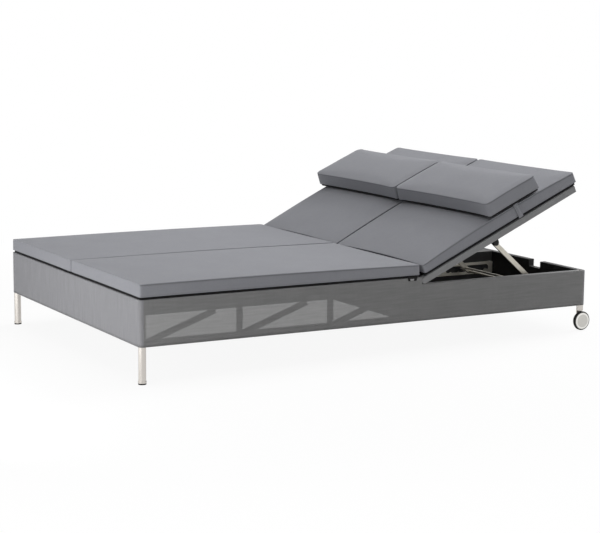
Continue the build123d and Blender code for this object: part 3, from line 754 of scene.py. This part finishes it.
def boxed_cover(name, space, whole_low, whole_high, shape, seed):
    """The sewn cover as an object. Shape holds the values that its kind of cushion has."""
    small = shape["cap"] * 0.8
    tallest = shape["rise"] + shape["crown"] + max(0, *shape["taper"]) / 2
    low = np.array(whole_low) + (small, small, small * 0.4)
    high = np.array(whole_high) - (small, small, small + tallest)
    xs, ys = (grid_lines(low[a], high[a], shape["step"], EDGE_MARGINS) for a in (0, 1))
    zs = grid_lines(low[2], high[2], BOXING_STEP, (0, SEAM_DROP / 2, SEAM_DROP, 2 * SEAM_DROP))
    points, faces, places = box_grid(xs, ys, zs)
    on_long, on_end = ((points[:, a] - low[a] < 1e-6) | (high[a] - points[:, a] < 1e-6) for a in (0, 1))
    inner = np.isclose(np.abs(points[:, 0]), np.abs([low[0], high[0]]).min())
    # These weights draw the seam's furrow and paint shade along it.
    on_side = np.maximum(on_long * np.where(inner, INNER_SHARE, 1), shape["end_seam"] * on_end)
    seam_and_shade_weights = on_side * (np.isclose(points[:, 2], zs[-3]) + LOWER_SEAM * np.isclose(points[:, 2], zs[2]))
    height = (points[:, 2] - low[2]) / (high[2] - low[2])
    points = round_corners(points, low, high, np.interp(height, (0, 1), shape["corner"]))
    points = swell(points, low, high, shape)
    cover = make_piece(name, space, points, faces, places, cushion_finish)
    mark_points(cover, SEAM_AND_SHADE, seam_and_shade_weights)
    fill_cover(cover, shape["pressure"], shape["cap"], seed)
    subdivide(cover)
    fit_to_box(cover, whole_low, whole_high)
    sew_seams(cover, shape["furrow"])
    return cover


def base_pad_and_gap_shade(name, space, low, high, relief=None):
    """The black base under a cover, which also stands as painted shade in the gap below it. Relief is (start,
    end, height) of a shallow channel across it.
    """
    lines = [grid_lines(*values) for values in zip(low, high, BASE_STEPS, BASE_MARGINS)]
    points, faces, places = box_grid(*lines)
    points = round_corners(points, low, high, BASE_CORNER)
    if relief:
        start, end, height = relief
        under = (points[:, 1] > start) & (points[:, 1] < end) & (points[:, 2] < low[2] + height)
        points[under, 2] = low[2] + height
    return make_piece(name, space, points, faces, places, base_and_gap_shade_finish)


def cushion(kind, side, seed, space, body, node, shape, relief=None):
    """Cover and base in the box of the CAD cushion that they stand for."""
    low, high = box_in(space, node)
    cover_low = low + Vector((0, 0, shape["base"]))
    cover = boxed_cover(f"{kind}_cover_{side}", space, cover_low, high, shape, seed)
    base_high = Vector((high.x - BASE_INSET, high.y - BASE_INSET, cover_low.z + BASE_OVERLAP))
    # The black base also paints the shade of the gap under the cover.
    base_and_gap_shade = base_pad_and_gap_shade(f"{kind}_base_{side}", space, low + Vector((BASE_INSET, BASE_INSET, 0)), base_high, relief)
    for piece in (cover, base_and_gap_shade):
        declare(piece, body, node)
    return cover, base_and_gap_shade


# %% [markdown]
# ## Seat cushions
# Two flat foam cushions with crisp edges cover the seat zone from the foot end to the hinge. They are about
# 60 mm thick at the foot end and 50 at the hinge, and barely domed, so little pressure and a small cap are
# enough. Use has pressed the right one thinner towards its outer corner at the hinge, so each has its own
# taper, as a pair for its inner and its outer side.

# %% Seat cushions
seat_shape = {"step": 0.016, "corner": (0.010, 0.012), "rise": 0.003, "crown": 0.003, "foot_crown": 0.0,
              "draw": 0.003, "base": 0.006, "pressure": 4.0, "cap": 0.003, "furrow": 0.0012, "end_seam": 0.3}
seat_pieces = []
for side, seed, taper in zip(sides, (11, 12), ((0.002, 0.0), (0.003, 0.008))):
    node, shape = f"seat_cushion_{side}", dict(seat_shape, taper=taper)
    seat_pieces += cushion("seat", side, seed, deck, "base", node, shape)
print("seat cushions:", count_faces(*seat_pieces), "faces")

# %% [markdown]
# ## Back cushions
# They lie on the reclining backs and are thickest a little past the middle, with a wedge cut in the foam at
# both ends. At the foot end the foam stands up a little between the corners, which leaves a thin dark gap
# over the seat. Their base has a shallow channel, in which the pillow's strap slides.

# %% Back cushions
back_shape = {"step": 0.016, "corner": (0.011, 0.013), "rise": 0.013, "crown": 0.005, "foot_crown": 0.007,
              "draw": 0.003, "taper": (-0.008, -0.008), "base": 0.006, "pressure": 4.0, "cap": 0.004,
              "furrow": 0.0013, "end_seam": 0.5}
STRAP_ROOM = 0.0026
ROOM_AT_FOOT, ROOM_AT_HEAD = 0.002, 0.012


def strap_travel(side):
    """Where the strap's channel starts and ends along the back: what its edges reach, and a little room."""
    low, high = box_in(back, f"pillow_strap_{side}")
    down, up = joints[f"pillow_{side}_slide"]["range_m"]
    return low.y + down - ROOM_AT_FOOT, high.y + up + ROOM_AT_HEAD


back_pieces = []
for side, seed in zip(sides, (21, 22)):
    body, node, relief = f"back_{side}", f"back_cushion_{side}", (*strap_travel(side), STRAP_ROOM)
    back_pieces += cushion("back", side, seed, back, body, node, back_shape, relief)
print("back cushions:", count_faces(*back_pieces), "faces")

# %% [markdown]
# ## Head pillows
# Firm blocks with crisp edges, a little softer than the cushions below them, so their covers swell more.
# They lie across the back cushions on a strap.

# %% Head pillows
pillow_shape = {"step": 0.012, "corner": (0.012, 0.027), "rise": 0.002, "crown": 0.005, "foot_crown": 0.0,
                "draw": 0.004, "taper": (0.0, 0.0), "base": 0.0035, "pressure": 5.0, "cap": 0.005,
                "furrow": 0.0014, "end_seam": 0.7}
pillow_pieces = []
for side, seed in zip(sides, (31, 32)):
    body, node = f"pillow_{side}", f"pillow_{side}"
    pillow_pieces += cushion("pillow", side, seed, back, body, node, pillow_shape)
print("pillows:", count_faces(*pillow_pieces), "faces")

# %% [markdown]
# ## Pillow straps
# A flat band of cushion cloth goes round the back cushion and holds the pillow. It is a loop with rounded
# corners and a folded edge, so it is swept as a thin closed section with a slightly thicker rim. The rim
# towards the foot end holds the seam, and the darker line along it is painted shade.

# %% Pillow straps
STRAP_THICK = 0.0013
STRAP_CORNER = 0.008
STRAP_HEM = 0.003
STRAP_EDGE = 0.0005
STRAP_LEAN = 0.009


def rounded_loop(low, high, radius, steps=5):
    """Places in turn along an upright rectangle with rounded corners."""
    loop = []
    for cx, cz, start in ((high.x, high.z, 0), (low.x, high.z, 90), (low.x, low.z, 180), (high.x, low.z, 270)):
        inward = (-1 if cx == high.x else 1, -1 if cz == high.z else 1)
        for i in range(steps + 1):
            turn = math.radians(start + 90 * i / steps)
            loop.append((cx + inward[0] * radius + radius * math.cos(turn),
                         cz + inward[1] * radius + radius * math.sin(turn)))
    return loop


def strap_section(width, thick, lift=0.0004):
    """Across and outward places of the band's cut, with a raised hem along both edges."""
    half = width / 2
    outer = [(-half, 0.2 * thick), (-half, 0.8 * thick), (-half + 0.0006, thick + lift),
             (-half + STRAP_HEM, thick + lift), (-half + STRAP_HEM + STRAP_EDGE, thick)]
    under = [(half - STRAP_EDGE, 0), (-half + STRAP_EDGE, 0)]
    return outer + [(-a, h) for a, h in reversed(outer)] + under


def pillow_strap(side):
    """The band leans a little: its underside is pulled further towards the head end than its top."""
    node = f"pillow_strap_{side}"
    low, high = box_in(back, node)
    thin = Vector((STRAP_THICK, 0, STRAP_THICK))
    loop = rounded_loop(low + thin, high - thin, STRAP_CORNER)
    section = strap_section(high.y - low.y, STRAP_THICK)
    middle_x, middle_y, middle_z = ((a + b) / 2 for a, b in zip(low, high))
    points, travelled = [], [0.0]
    count, wide = len(loop), len(section)
    for number, (x, z) in enumerate(loop):
        before, after = loop[number - 1], loop[(number + 1) % count]
        tangent = Vector((after[0] - before[0], after[1] - before[1])).normalized()
        normal = Vector((tangent.y, -tangent.x))
        if normal.dot(Vector((x - middle_x, z - middle_z))) < 0:
            normal = -normal
        shift = STRAP_LEAN * (middle_z - z) / (high.z - low.z)
        points += [(x + normal.x * h, middle_y + shift + a, z + normal.y * h) for a, h in section]
        travelled.append(travelled[-1] + math.dist((x, z), after))
    faces, places = sheet_faces(count + 1, wide + 1, lambda r, c: r % count * wide + c % wide,
                                lambda r, c: (travelled[r], section[c % wide][0]))
    strap = make_piece(f"strap_{side}", back, points, faces, places, cushion_finish)
    # The foot-side rim carries the seam mark, which paints shade along that edge.
    mark_points(strap, SEAM_AND_SHADE, [a < STRAP_EDGE - (high.y - low.y) / 2 for _ in loop for a, _ in section])
    declare(strap, f"pillow_{side}", node)
    return strap


straps = [pillow_strap(side) for side in sides]
print("straps:", count_faces(*straps), "faces")

# %% [markdown]
# ## The mesh skirt
# One band of mesh is stretched round the box. It turns over the top edge and under the bottom edge and is
# fixed inside. Its cut across is a list of places, outward and up, and that cut is carried along the box's
# outline: straight along the sides, and round each leg at the corners. Between the truss posts the mesh
# gives a little.

# %% Cut and stretch the skirt
SKIN = 0.0017
TURN_IN = 0.010
HEM_HEIGHT = 0.0022
RIM_HEIGHT = 0.0002
RIM_SHARE = 0.6
SLACK = 0.0012
FIXED_SHARE = 0.15


def skirt_cut(bottom, top, top_in, bottom_in, rows=16, lift=0.0003, round_by=0.0012):
    """Outward and up places from the inner top edge, over the outside, to the inner bottom edge."""
    cut = [(-top_in, top + lift), (0, top + lift), (SKIN * 0.6, top), (SKIN, top - round_by)]
    for i in range(1, rows):
        cut.append((SKIN, top - round_by - (top - bottom - 2 * round_by) * i / rows))
    end = [(SKIN, bottom + round_by), (SKIN * 0.6, bottom), (0, bottom - lift), (-bottom_in, bottom - lift)]
    return cut + end


def hang_cloth(name, stretches, finish):
    """Sweeps each stretch's cut along its route. A route is a list of (place, outward, way along)."""
    points, faces, places, hems = [], [], [], []
    for cut, route, give in stretches:
        first, wide, down = len(points), len(cut), [0.0]
        rim = max(up for _, up in cut) - RIM_HEIGHT
        # The bottom hem is darkened fully, and the turned top rim is darkened too, at RIM_SHARE of that.
        folded = [max(up < bottom + HEM_HEIGHT, RIM_SHARE * (up > rim)) for _, up in cut]
        hems += folded * len(route)
        for a, b in zip(cut, cut[1:]):
            down.append(down[-1] + math.dist(a, b))
        for place, outward, way in route:
            for row, (out, up) in enumerate(cut):
                out += give(way, row / (wide - 1))
                points.append((place[0] + outward[0] * out, place[1] + outward[1] * out, up))
        new_faces, new_places = sheet_faces(len(route), wide, lambda r, c: first + r * wide + c,
                                            lambda r, c: (route[r][2], -down[c]))
        faces += new_faces
        places += new_places
    cloth = make_piece(name, deck, points, faces, places, finish)
    mark_points(cloth, HEM, hems)
    return cloth


def straight_route(start, end, outward, way=0.0, step=0.012):
    length = math.dist(start, end)
    count = max(1, round(length / step))
    return [((start[0] + (end[0] - start[0]) * i / count, start[1] + (end[1] - start[1]) * i / count),
             outward, way + length * i / count) for i in range(count + 1)]


def corner_route(centre, radius, start, end, way=0.0, steps=10):
    """A route round a leg, from one direction to another, in degrees."""
    route = []
    for i in range(steps + 1):
        turn = math.radians(start + (end - start) * i / steps)
        outward = (math.cos(turn), math.sin(turn))
        place = (centre[0] + radius * outward[0], centre[1] + radius * outward[1])
        route.append((place, outward, way + (radius + SKIN) * abs(turn - math.radians(start))))
    return route


def taut(way, share):
    return 0.0


def slack_between(posts, depth, seed):
    """The cloth gives inwards by up to depth between posts, unevenly, but not near its edges."""
    def give(way, share):
        gaps = [(a, b) for a, b in zip(posts, posts[1:]) if a < way < b]
        if not gaps or not FIXED_SHARE < share < 1 - FIXED_SHARE:
            return 0.0
        start, end = gaps[0]
        free = (share - FIXED_SHARE) / (1 - 2 * FIXED_SHARE)
        inside = math.sin(math.pi * (way - start) / (end - start)) * math.sin(math.pi * free)
        drift = noise.noise(Vector((way * 3, share * 2, seed)))
        return -depth * max(inside, 0) * (0.7 + 0.6 * drift)
    return give


# %% [markdown]
# The four pieces take their size from the CAD skirt, and their corners from the legs that they go round.

# %% Hang the four skirt pieces
POST_WIDTH = 0.03
CORNER_ROOM = 0.002
CORNER_TURN_IN = 0.97
CORNER_HEM = -0.0003
skirt_low, skirt_high = box_in(deck, "skirt_side_right")
foot_low, foot_high = box_in(deck, "skirt_foot")
head_high = box_in(deck, "skirt_head")[1]
leg_low, leg_high = box_in(deck, "foot_leg_right")
rail_out = box_in(deck, "side_rails_right")[1].x
leg_x = (leg_low.x + leg_high.x) / 2
leg_radius = rail_out - leg_x
bottom, deck_top, wall_top = skirt_low.z, skirt_high.z, head_high.z
seat_end = box_in(deck, "seat_slings")[1].y
print("skirt from", round(bottom, 4), "to", round(deck_top, 4), "leg radius", round(leg_radius, 4))


def post_ways(start):
    """Where the truss posts stand along the skirt, measured from start."""
    ys = sorted({round(y, 3) for y in points_in(deck, "truss_posts")[:, 1].tolist()})
    middles = [(a + b) / 2 for a, b in zip(ys, ys[1:]) if b - a < POST_WIDTH]
    return [0.0] + [m - start for m in middles] + [skirt_high.y - start]


def declare_skirt(piece, node):
    declare(piece, "base", node)


def skirt_side(side, sign, seed):
    start, end = skirt_low.y, skirt_high.y
    give = slack_between(post_ways(start), SLACK, seed)
    stretches, heights = [], []
    for first, last, top in ((start, seat_end, deck_top), (seat_end, end, wall_top)):
        route = straight_route((sign * rail_out, first), (sign * rail_out, last), (sign, 0), first - start)
        stretches.append((skirt_cut(bottom, top, TURN_IN, TURN_IN), route, give))
        heights.append(top - bottom + 2 * TURN_IN + 2 * SKIN)
    piece = hang_cloth(f"skirt_mesh_{side}", stretches, side_mesh)
    declare_skirt(piece, f"skirt_side_{side}")
    return piece


def skirt_end(name, node, sign, top, cutter=None):
    """The foot end or the head end, with both rounded corners."""
    edge = foot_low.y if sign < 0 else head_high.y
    leg_y = edge - sign * (leg_radius + CORNER_ROOM)
    flat_y = leg_y + sign * leg_radius
    quarter = math.pi / 2 * (leg_radius + SKIN)
    around = skirt_cut(bottom, top, leg_radius * CORNER_TURN_IN, CORNER_HEM)
    across = skirt_cut(bottom, top, TURN_IN, TURN_IN)
    turns = ((180, 270), (270, 360)) if sign < 0 else ((180, 90), (90, 0))
    first = (around, corner_route((-leg_x, leg_y), leg_radius, *turns[0]), taut)
    flat = (across, straight_route((-leg_x, flat_y), (leg_x, flat_y), (0, sign), quarter),
            slack_between([quarter, quarter + leg_x, quarter + 2 * leg_x], SLACK, 5 + sign))
    last = (around, corner_route((leg_x, leg_y), leg_radius, *turns[1], way=quarter + 2 * leg_x), taut)
    piece = hang_cloth(name, [first, flat, last], end_mesh_painted_lighter)
    if cutter:
        cutter(piece)
    declare_skirt(piece, node)
    return piece


skirts = [skirt_side("left", -1, 3), skirt_side("right", 1, 4)]
skirts.append(skirt_end("skirt_mesh_foot", "skirt_foot", -1, foot_high.z))
print("skirt:", count_faces(*skirts), "faces")

# %% [markdown]
# ## The head end and its hand notches
# Two notches in the head wall are hand grips for rolling the lounger on its wheels. The mesh is cut along
# each notch's sides and floor, and the cloth inside is removed.

# %% Cut the hand notches
CORNER_WIDTH = 0.05
LOWER_EDGE = 0.03


def notch_boxes():
    """Sides and floor of each notch, from the CAD head board's points between its corners."""
    points = points_in(deck, "head_board").tolist()
    inner = [(x, z) for x, _, z in points if abs(x) < leg_x - CORNER_WIDTH and z > bottom + LOWER_EDGE]
    boxes = []
    for sign in (-1, 1):
        xs, zs = zip(*((x, z) for x, z in inner if x * sign > 0))
        boxes.append((min(xs), max(xs), min(zs)))
    return boxes


def cut_notches(piece):
    """Cuts the cloth along each notch's sides and floor, and removes what is inside."""
    mesh = bmesh.new()
    mesh.from_mesh(piece.data)
    for low_x, high_x, floor in notch_boxes():
        planes = (((low_x, 0, 0), (1, 0, 0)), ((high_x, 0, 0), (1, 0, 0)), ((0, 0, floor), (0, 0, 1)))
        for place, normal in planes:
            everything = mesh.verts[:] + mesh.edges[:] + mesh.faces[:]
            bmesh.ops.bisect_plane(mesh, geom=everything, plane_co=place, plane_no=normal, dist=1e-5)
        middles = [(face, face.calc_center_median()) for face in mesh.faces]
        gone = [face for face, middle in middles if low_x < middle.x < high_x and middle.z > floor]
        bmesh.ops.delete(mesh, geom=gone, context="FACES")
    mesh.to_mesh(piece.data)
    mesh.free()


skirts.append(skirt_end("skirt_mesh_head", "skirt_head", 1, wall_top,
                        cut_notches))
print("notches at", [tuple(round(v, 3) for v in box) for box in notch_boxes()])

# %% [markdown]
# ## Slings
# Under the cushions, mesh slings carry the weight. They are stretched over their tubes and sag a little
# between them, so the sag is nothing at each tube and most in the middle of each bay.

# %% Stretch the slings
SLING_STEP = 0.02
SLING_MARGINS = (0, 0.002)
SLING_BELOW = 0.0004
SLING_HELD = 0.001
TURNED_DOWN = 0.0015
SEAT_TUBE = 0.025
SEAT_INSET = 0.004
MIDDLE_GAP = 0.0005


def bay_sag(place, bars, depth):
    """How far the cloth hangs at a place between bars, given as (start, end) of each."""
    for (_, start), (end, _) in zip(bars, bars[1:]):
        if start < place < end:
            return depth * math.sin(math.pi * (place - start) / (end - start)) ** 0.8
    return 0.0


def sling(name, space, low, high, bars_x, bars_y, depth, turned):
    """A mesh sheet on its tubes. Its x sides may be turned down over them."""
    xs, ys = (grid_lines(low[a], high[a], SLING_STEP, SLING_MARGINS) for a in (0, 1))
    points, wide = [], len(xs)
    for y, (i, x) in product(ys, enumerate(xs)):
        sag = min(bay_sag(x, bars_x, depth), bay_sag(y, bars_y, depth))
        drop = TURNED_DOWN if turned and i in (0, wide - 1) else 0
        points.append((x, y, high.z - SLING_BELOW - sag - drop))
    faces, places = sheet_faces(len(ys), wide, lambda r, c: r * wide + c, lambda r, c: (xs[c], ys[r]))
    return make_piece(name, space, points, faces, places, side_mesh)


def spans(node, space, axis, narrow=0.04):
    """Start and end, along an axis, of each tube that a node holds across that axis."""
    found = []
    for value in sorted({round(v, 4) for v in points_in(space, node)[:, axis].tolist()}):
        if found and value - found[-1][0] < narrow:
            found[-1][1] = value
        else:
            found.append([value, value])
    return found


def back_sling(side):
    node, bars_node = f"back_sling_{side}", f"back_cross_bars_{side}"
    low, high = box_in(back, node)
    rail_boxes = [box_in(back, f"back_rail_{which}_{side}") for which in ("inner", "outer")]
    rails = sorted((rail_low.x, rail_high.x) for rail_low, rail_high in rail_boxes)
    bars = [(low.y, low.y + SLING_HELD)] + spans(bars_node, back, 1)
    piece = sling(f"sling_mesh_back_{side}", back, low, high, rails, bars, 0.006, True)
    declare(piece, f"back_{side}", node)
    return piece


def seat_sling(side, sign):
    """A seat sling from the middle to its side. One CAD node holds both."""
    low, high = box_in(deck, "seat_slings")
    near, far = sorted((sign * MIDDLE_GAP, sign * (high.x - SEAT_INSET)))
    corners = Vector((near, low.y + SEAT_INSET, low.z)), Vector((far, high.y, high.z))
    tubes = ((0, SEAT_TUBE / 2), (high.x - SEAT_TUBE, high.x))
    bars_x = sorted(sorted((sign * start, sign * end)) for start, end in tubes)
    bars_y = [(low.y, low.y + SEAT_TUBE), (high.y - SEAT_TUBE, high.y)]
    piece = sling(f"sling_mesh_seat_{side}", deck, *corners, bars_x, bars_y, 0.005, False)
    declare(piece, "base", "seat_slings")
    return piece


slings = [back_sling(side) for side in sides]
slings += [seat_sling(side, sign) for side, sign in zip(sides, (-1, 1))]
print("slings:", count_faces(*slings), "faces")

# %% [markdown]
# ## The little loop label
# A short folded tape is sewn into the right seat cushion's lower seam near the hinge. The real one is
# printed. Here it is a black tape with a plain pale patch, and nothing is written on it.

# %% Loop label
def tape_finish(name, colour):
    material, tree, shader = new_finish(name, colour, 0.8, specular=0.2)
    weave = place_group(plain_weave, cloth_place(tree), Pitch=0.0005, Slub_Length=0.01)
    add_colour(shader, weave["Height"], tuple(0.7 * c for c in colour), colour)
    add_bump(shader, weave["Height"], 0.3, 0.0002)
    return material


def loop_label(along=12, around=14, edge=0.0002):
    """A tape that hangs from the seam, folds and goes back up behind itself."""
    low, high = box_in(deck, "tag")
    length, height = high.y - low.y, high.z - low.z
    depth = high.x - low.x - 2 * edge
    slant = 0.1 * length
    points = []
    for j, i in product(range(along + 1), range(around + 1)):
        drop = math.sin(math.pi * i / around) ** 0.8
        out = high.x - edge - depth * (0.5 - 0.5 * math.cos(math.pi * i / around))
        y = low.y + length * j / along + slant * drop * (1 - 2 * j / along)
        points.append((out, y, high.z - height * drop))
    faces, places = sheet_faces(along + 1, around + 1, lambda r, c: r * (around + 1) + c,
                                lambda r, c: (length * r / along, 2 * height * c / around))
    black, pale = tape_finish("black tape", (0.012,) * 3), tape_finish("pale tape", (0.42,) * 3)
    label = make_piece("loop_label", deck, points, faces, places, black)
    label.data.materials.append(pale)
    for number, face in enumerate(label.data.polygons):
        column, row = divmod(number, around)
        face.material_index = int(2 <= row <= 4 and 3 <= column < along - 4)
    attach(label, "base")
    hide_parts("tag")
    return label


label = loop_label()
print("label:", count_faces(label), "faces")

# %% [markdown]
# ## Floor, backdrop and light
# The photograph has a plain white ground. The floor stays a pale matt surface for light that bounces, so
# the lounger's underside is lit as in a studio. Only where the camera, a reflection or clear mesh looks at
# it does a share of plain white come in, and the rest keeps the soft shadow. The white takes over away from
# the lounger, so that no horizon shows. The main light is a large soft lamp high behind the head end, with
# a wide one overhead. Weak ones to the right and low at the foot end open the shadows, and an even white
# sky fills the rest.

# %% Floor and light
def is_seen(tree):
    """1 where a ray comes from the camera, from a reflection or through clear cloth."""
    path = tree.nodes.new("ShaderNodeLightPath").outputs
    either = calc("MAXIMUM", path["Is Camera Ray"], path["Is Glossy Ray"])
    return calc("MAXIMUM", either, path["Is Transmission Ray"])


def white_floor(share, near, far):
    """A pale matt floor. A share of plain white shows in it, and all white from near to far away."""
    material, tree, shader = new_finish("studio floor", (0.9, 0.9, 0.9), 0.9, specular=0.1)
    away = new_node(tree, "VectorMath", solid_place(tree), operation="LENGTH").outputs["Value"]
    fade = new_node(tree, "MapRange", interpolation_type="SMOOTHSTEP", Value=away,
                    From_Min=near, From_Max=far, To_Min=share, To_Max=1.0)
    white = calc("MULTIPLY", is_seen(tree), fade.outputs["Result"])
    glow = new_node(tree, "Emission")
    mix = new_node(tree, "MixShader", white, shader.outputs[0], glow.outputs[0])
    feed(tree.nodes["Material Output"].inputs["Surface"], mix.outputs[0])
    return material


def studio_floor(half=30.0):
    corners = [(-half, -half, 0), (half, -half, 0), (half, half, 0), (-half, half, 0)]
    places = [corner[:2] for corner in corners]
    finish = white_floor(0.92, 1.2, 3.0)
    make_piece("studio_floor", Matrix(), corners, [(0, 1, 2, 3)], places, finish)


def white_sky(strength):
    """An even sky that lights at strength and shows as white."""
    world = bpy.data.worlds.new("studio sky")
    world.use_nodes = True
    bpy.context.scene.world = world
    tree = world.node_tree
    sky = tree.nodes["Background"]
    sky.inputs["Color"].default_value = (1, 1, 1, 1)
    feed(sky.inputs["Strength"], calc("MULTIPLY_ADD", is_seen(tree), 1.0 - strength, strength))


def soft_lamp(name, place, target, size, watts):
    data = bpy.data.lights.new(name, "AREA")
    data.shape = "RECTANGLE"
    data.size, data.size_y = size
    data.energy = watts
    aim = (Vector(target) - Vector(place)).to_track_quat("-Z", "Y")
    return add_object(name, data, Matrix.Translation(place) @ aim.to_matrix().to_4x4())


studio_floor()
white_sky(0.117)
lamps = [soft_lamp("head_end_lamp", (-1.0, 5.3, 4.1), (0, 0, 0.3), (3.0, 5.0), 334),
         soft_lamp("overhead_lamp", (0.0, 0.0, 5.0), (0, 0, 0.3), (5.0, 5.0), 132),
         soft_lamp("right_side_lamp", (5.0, 0.0, 2.0), (0, 0, 0.3), (3.0, 2.0), 18),
         soft_lamp("foot_end_lamp", (0.2, -1.9, 0.3), (0.1, -1.0, 0.25), (2.4, 0.5), 11)]
bpy.context.scene.view_settings.view_transform = "Standard"
print("sky, floor and", [lamp.name for lamp in lamps])

# %% [markdown]
# ## The camera
# The photograph was taken from a little above the cushions, off the right foot corner, with a long lens.
# Its place and turn were worked out from corners of the lounger, in the space that lies along the deck.

# %% Camera
CAMERA_PLACE = (6.1068, -3.5896, 1.0510)
CAMERA_TURN = 60.865
CAMERA_DIP = 8.749
CAMERA_ROLL = 0.514
CAMERA_LENS = 101.53
SENSOR = 36.0


def photo_camera():
    data = bpy.data.cameras.new("camera")
    data.lens, data.sensor_width = CAMERA_LENS, SENSOR
    data.clip_end = 100
    turn, dip, roll = (math.radians(a) for a in (CAMERA_TURN, CAMERA_DIP, CAMERA_ROLL))
    forward = Vector((-math.sin(turn) * math.cos(dip), math.cos(turn) * math.cos(dip), -math.sin(dip)))
    right = forward.cross(Vector((0, 0, 1))).normalized()
    up = right.cross(forward)
    across = right * math.cos(roll) + up * math.sin(roll)
    upward = up * math.cos(roll) - right * math.sin(roll)
    axes = Matrix((across, upward, -forward)).transposed().to_4x4()
    camera = add_object("camera", data, deck @ Matrix.Translation(CAMERA_PLACE) @ axes)
    bpy.context.scene.camera = camera
    return camera


camera = photo_camera()
print("camera at", tuple(round(v, 3) for v in camera.matrix_world.translation))
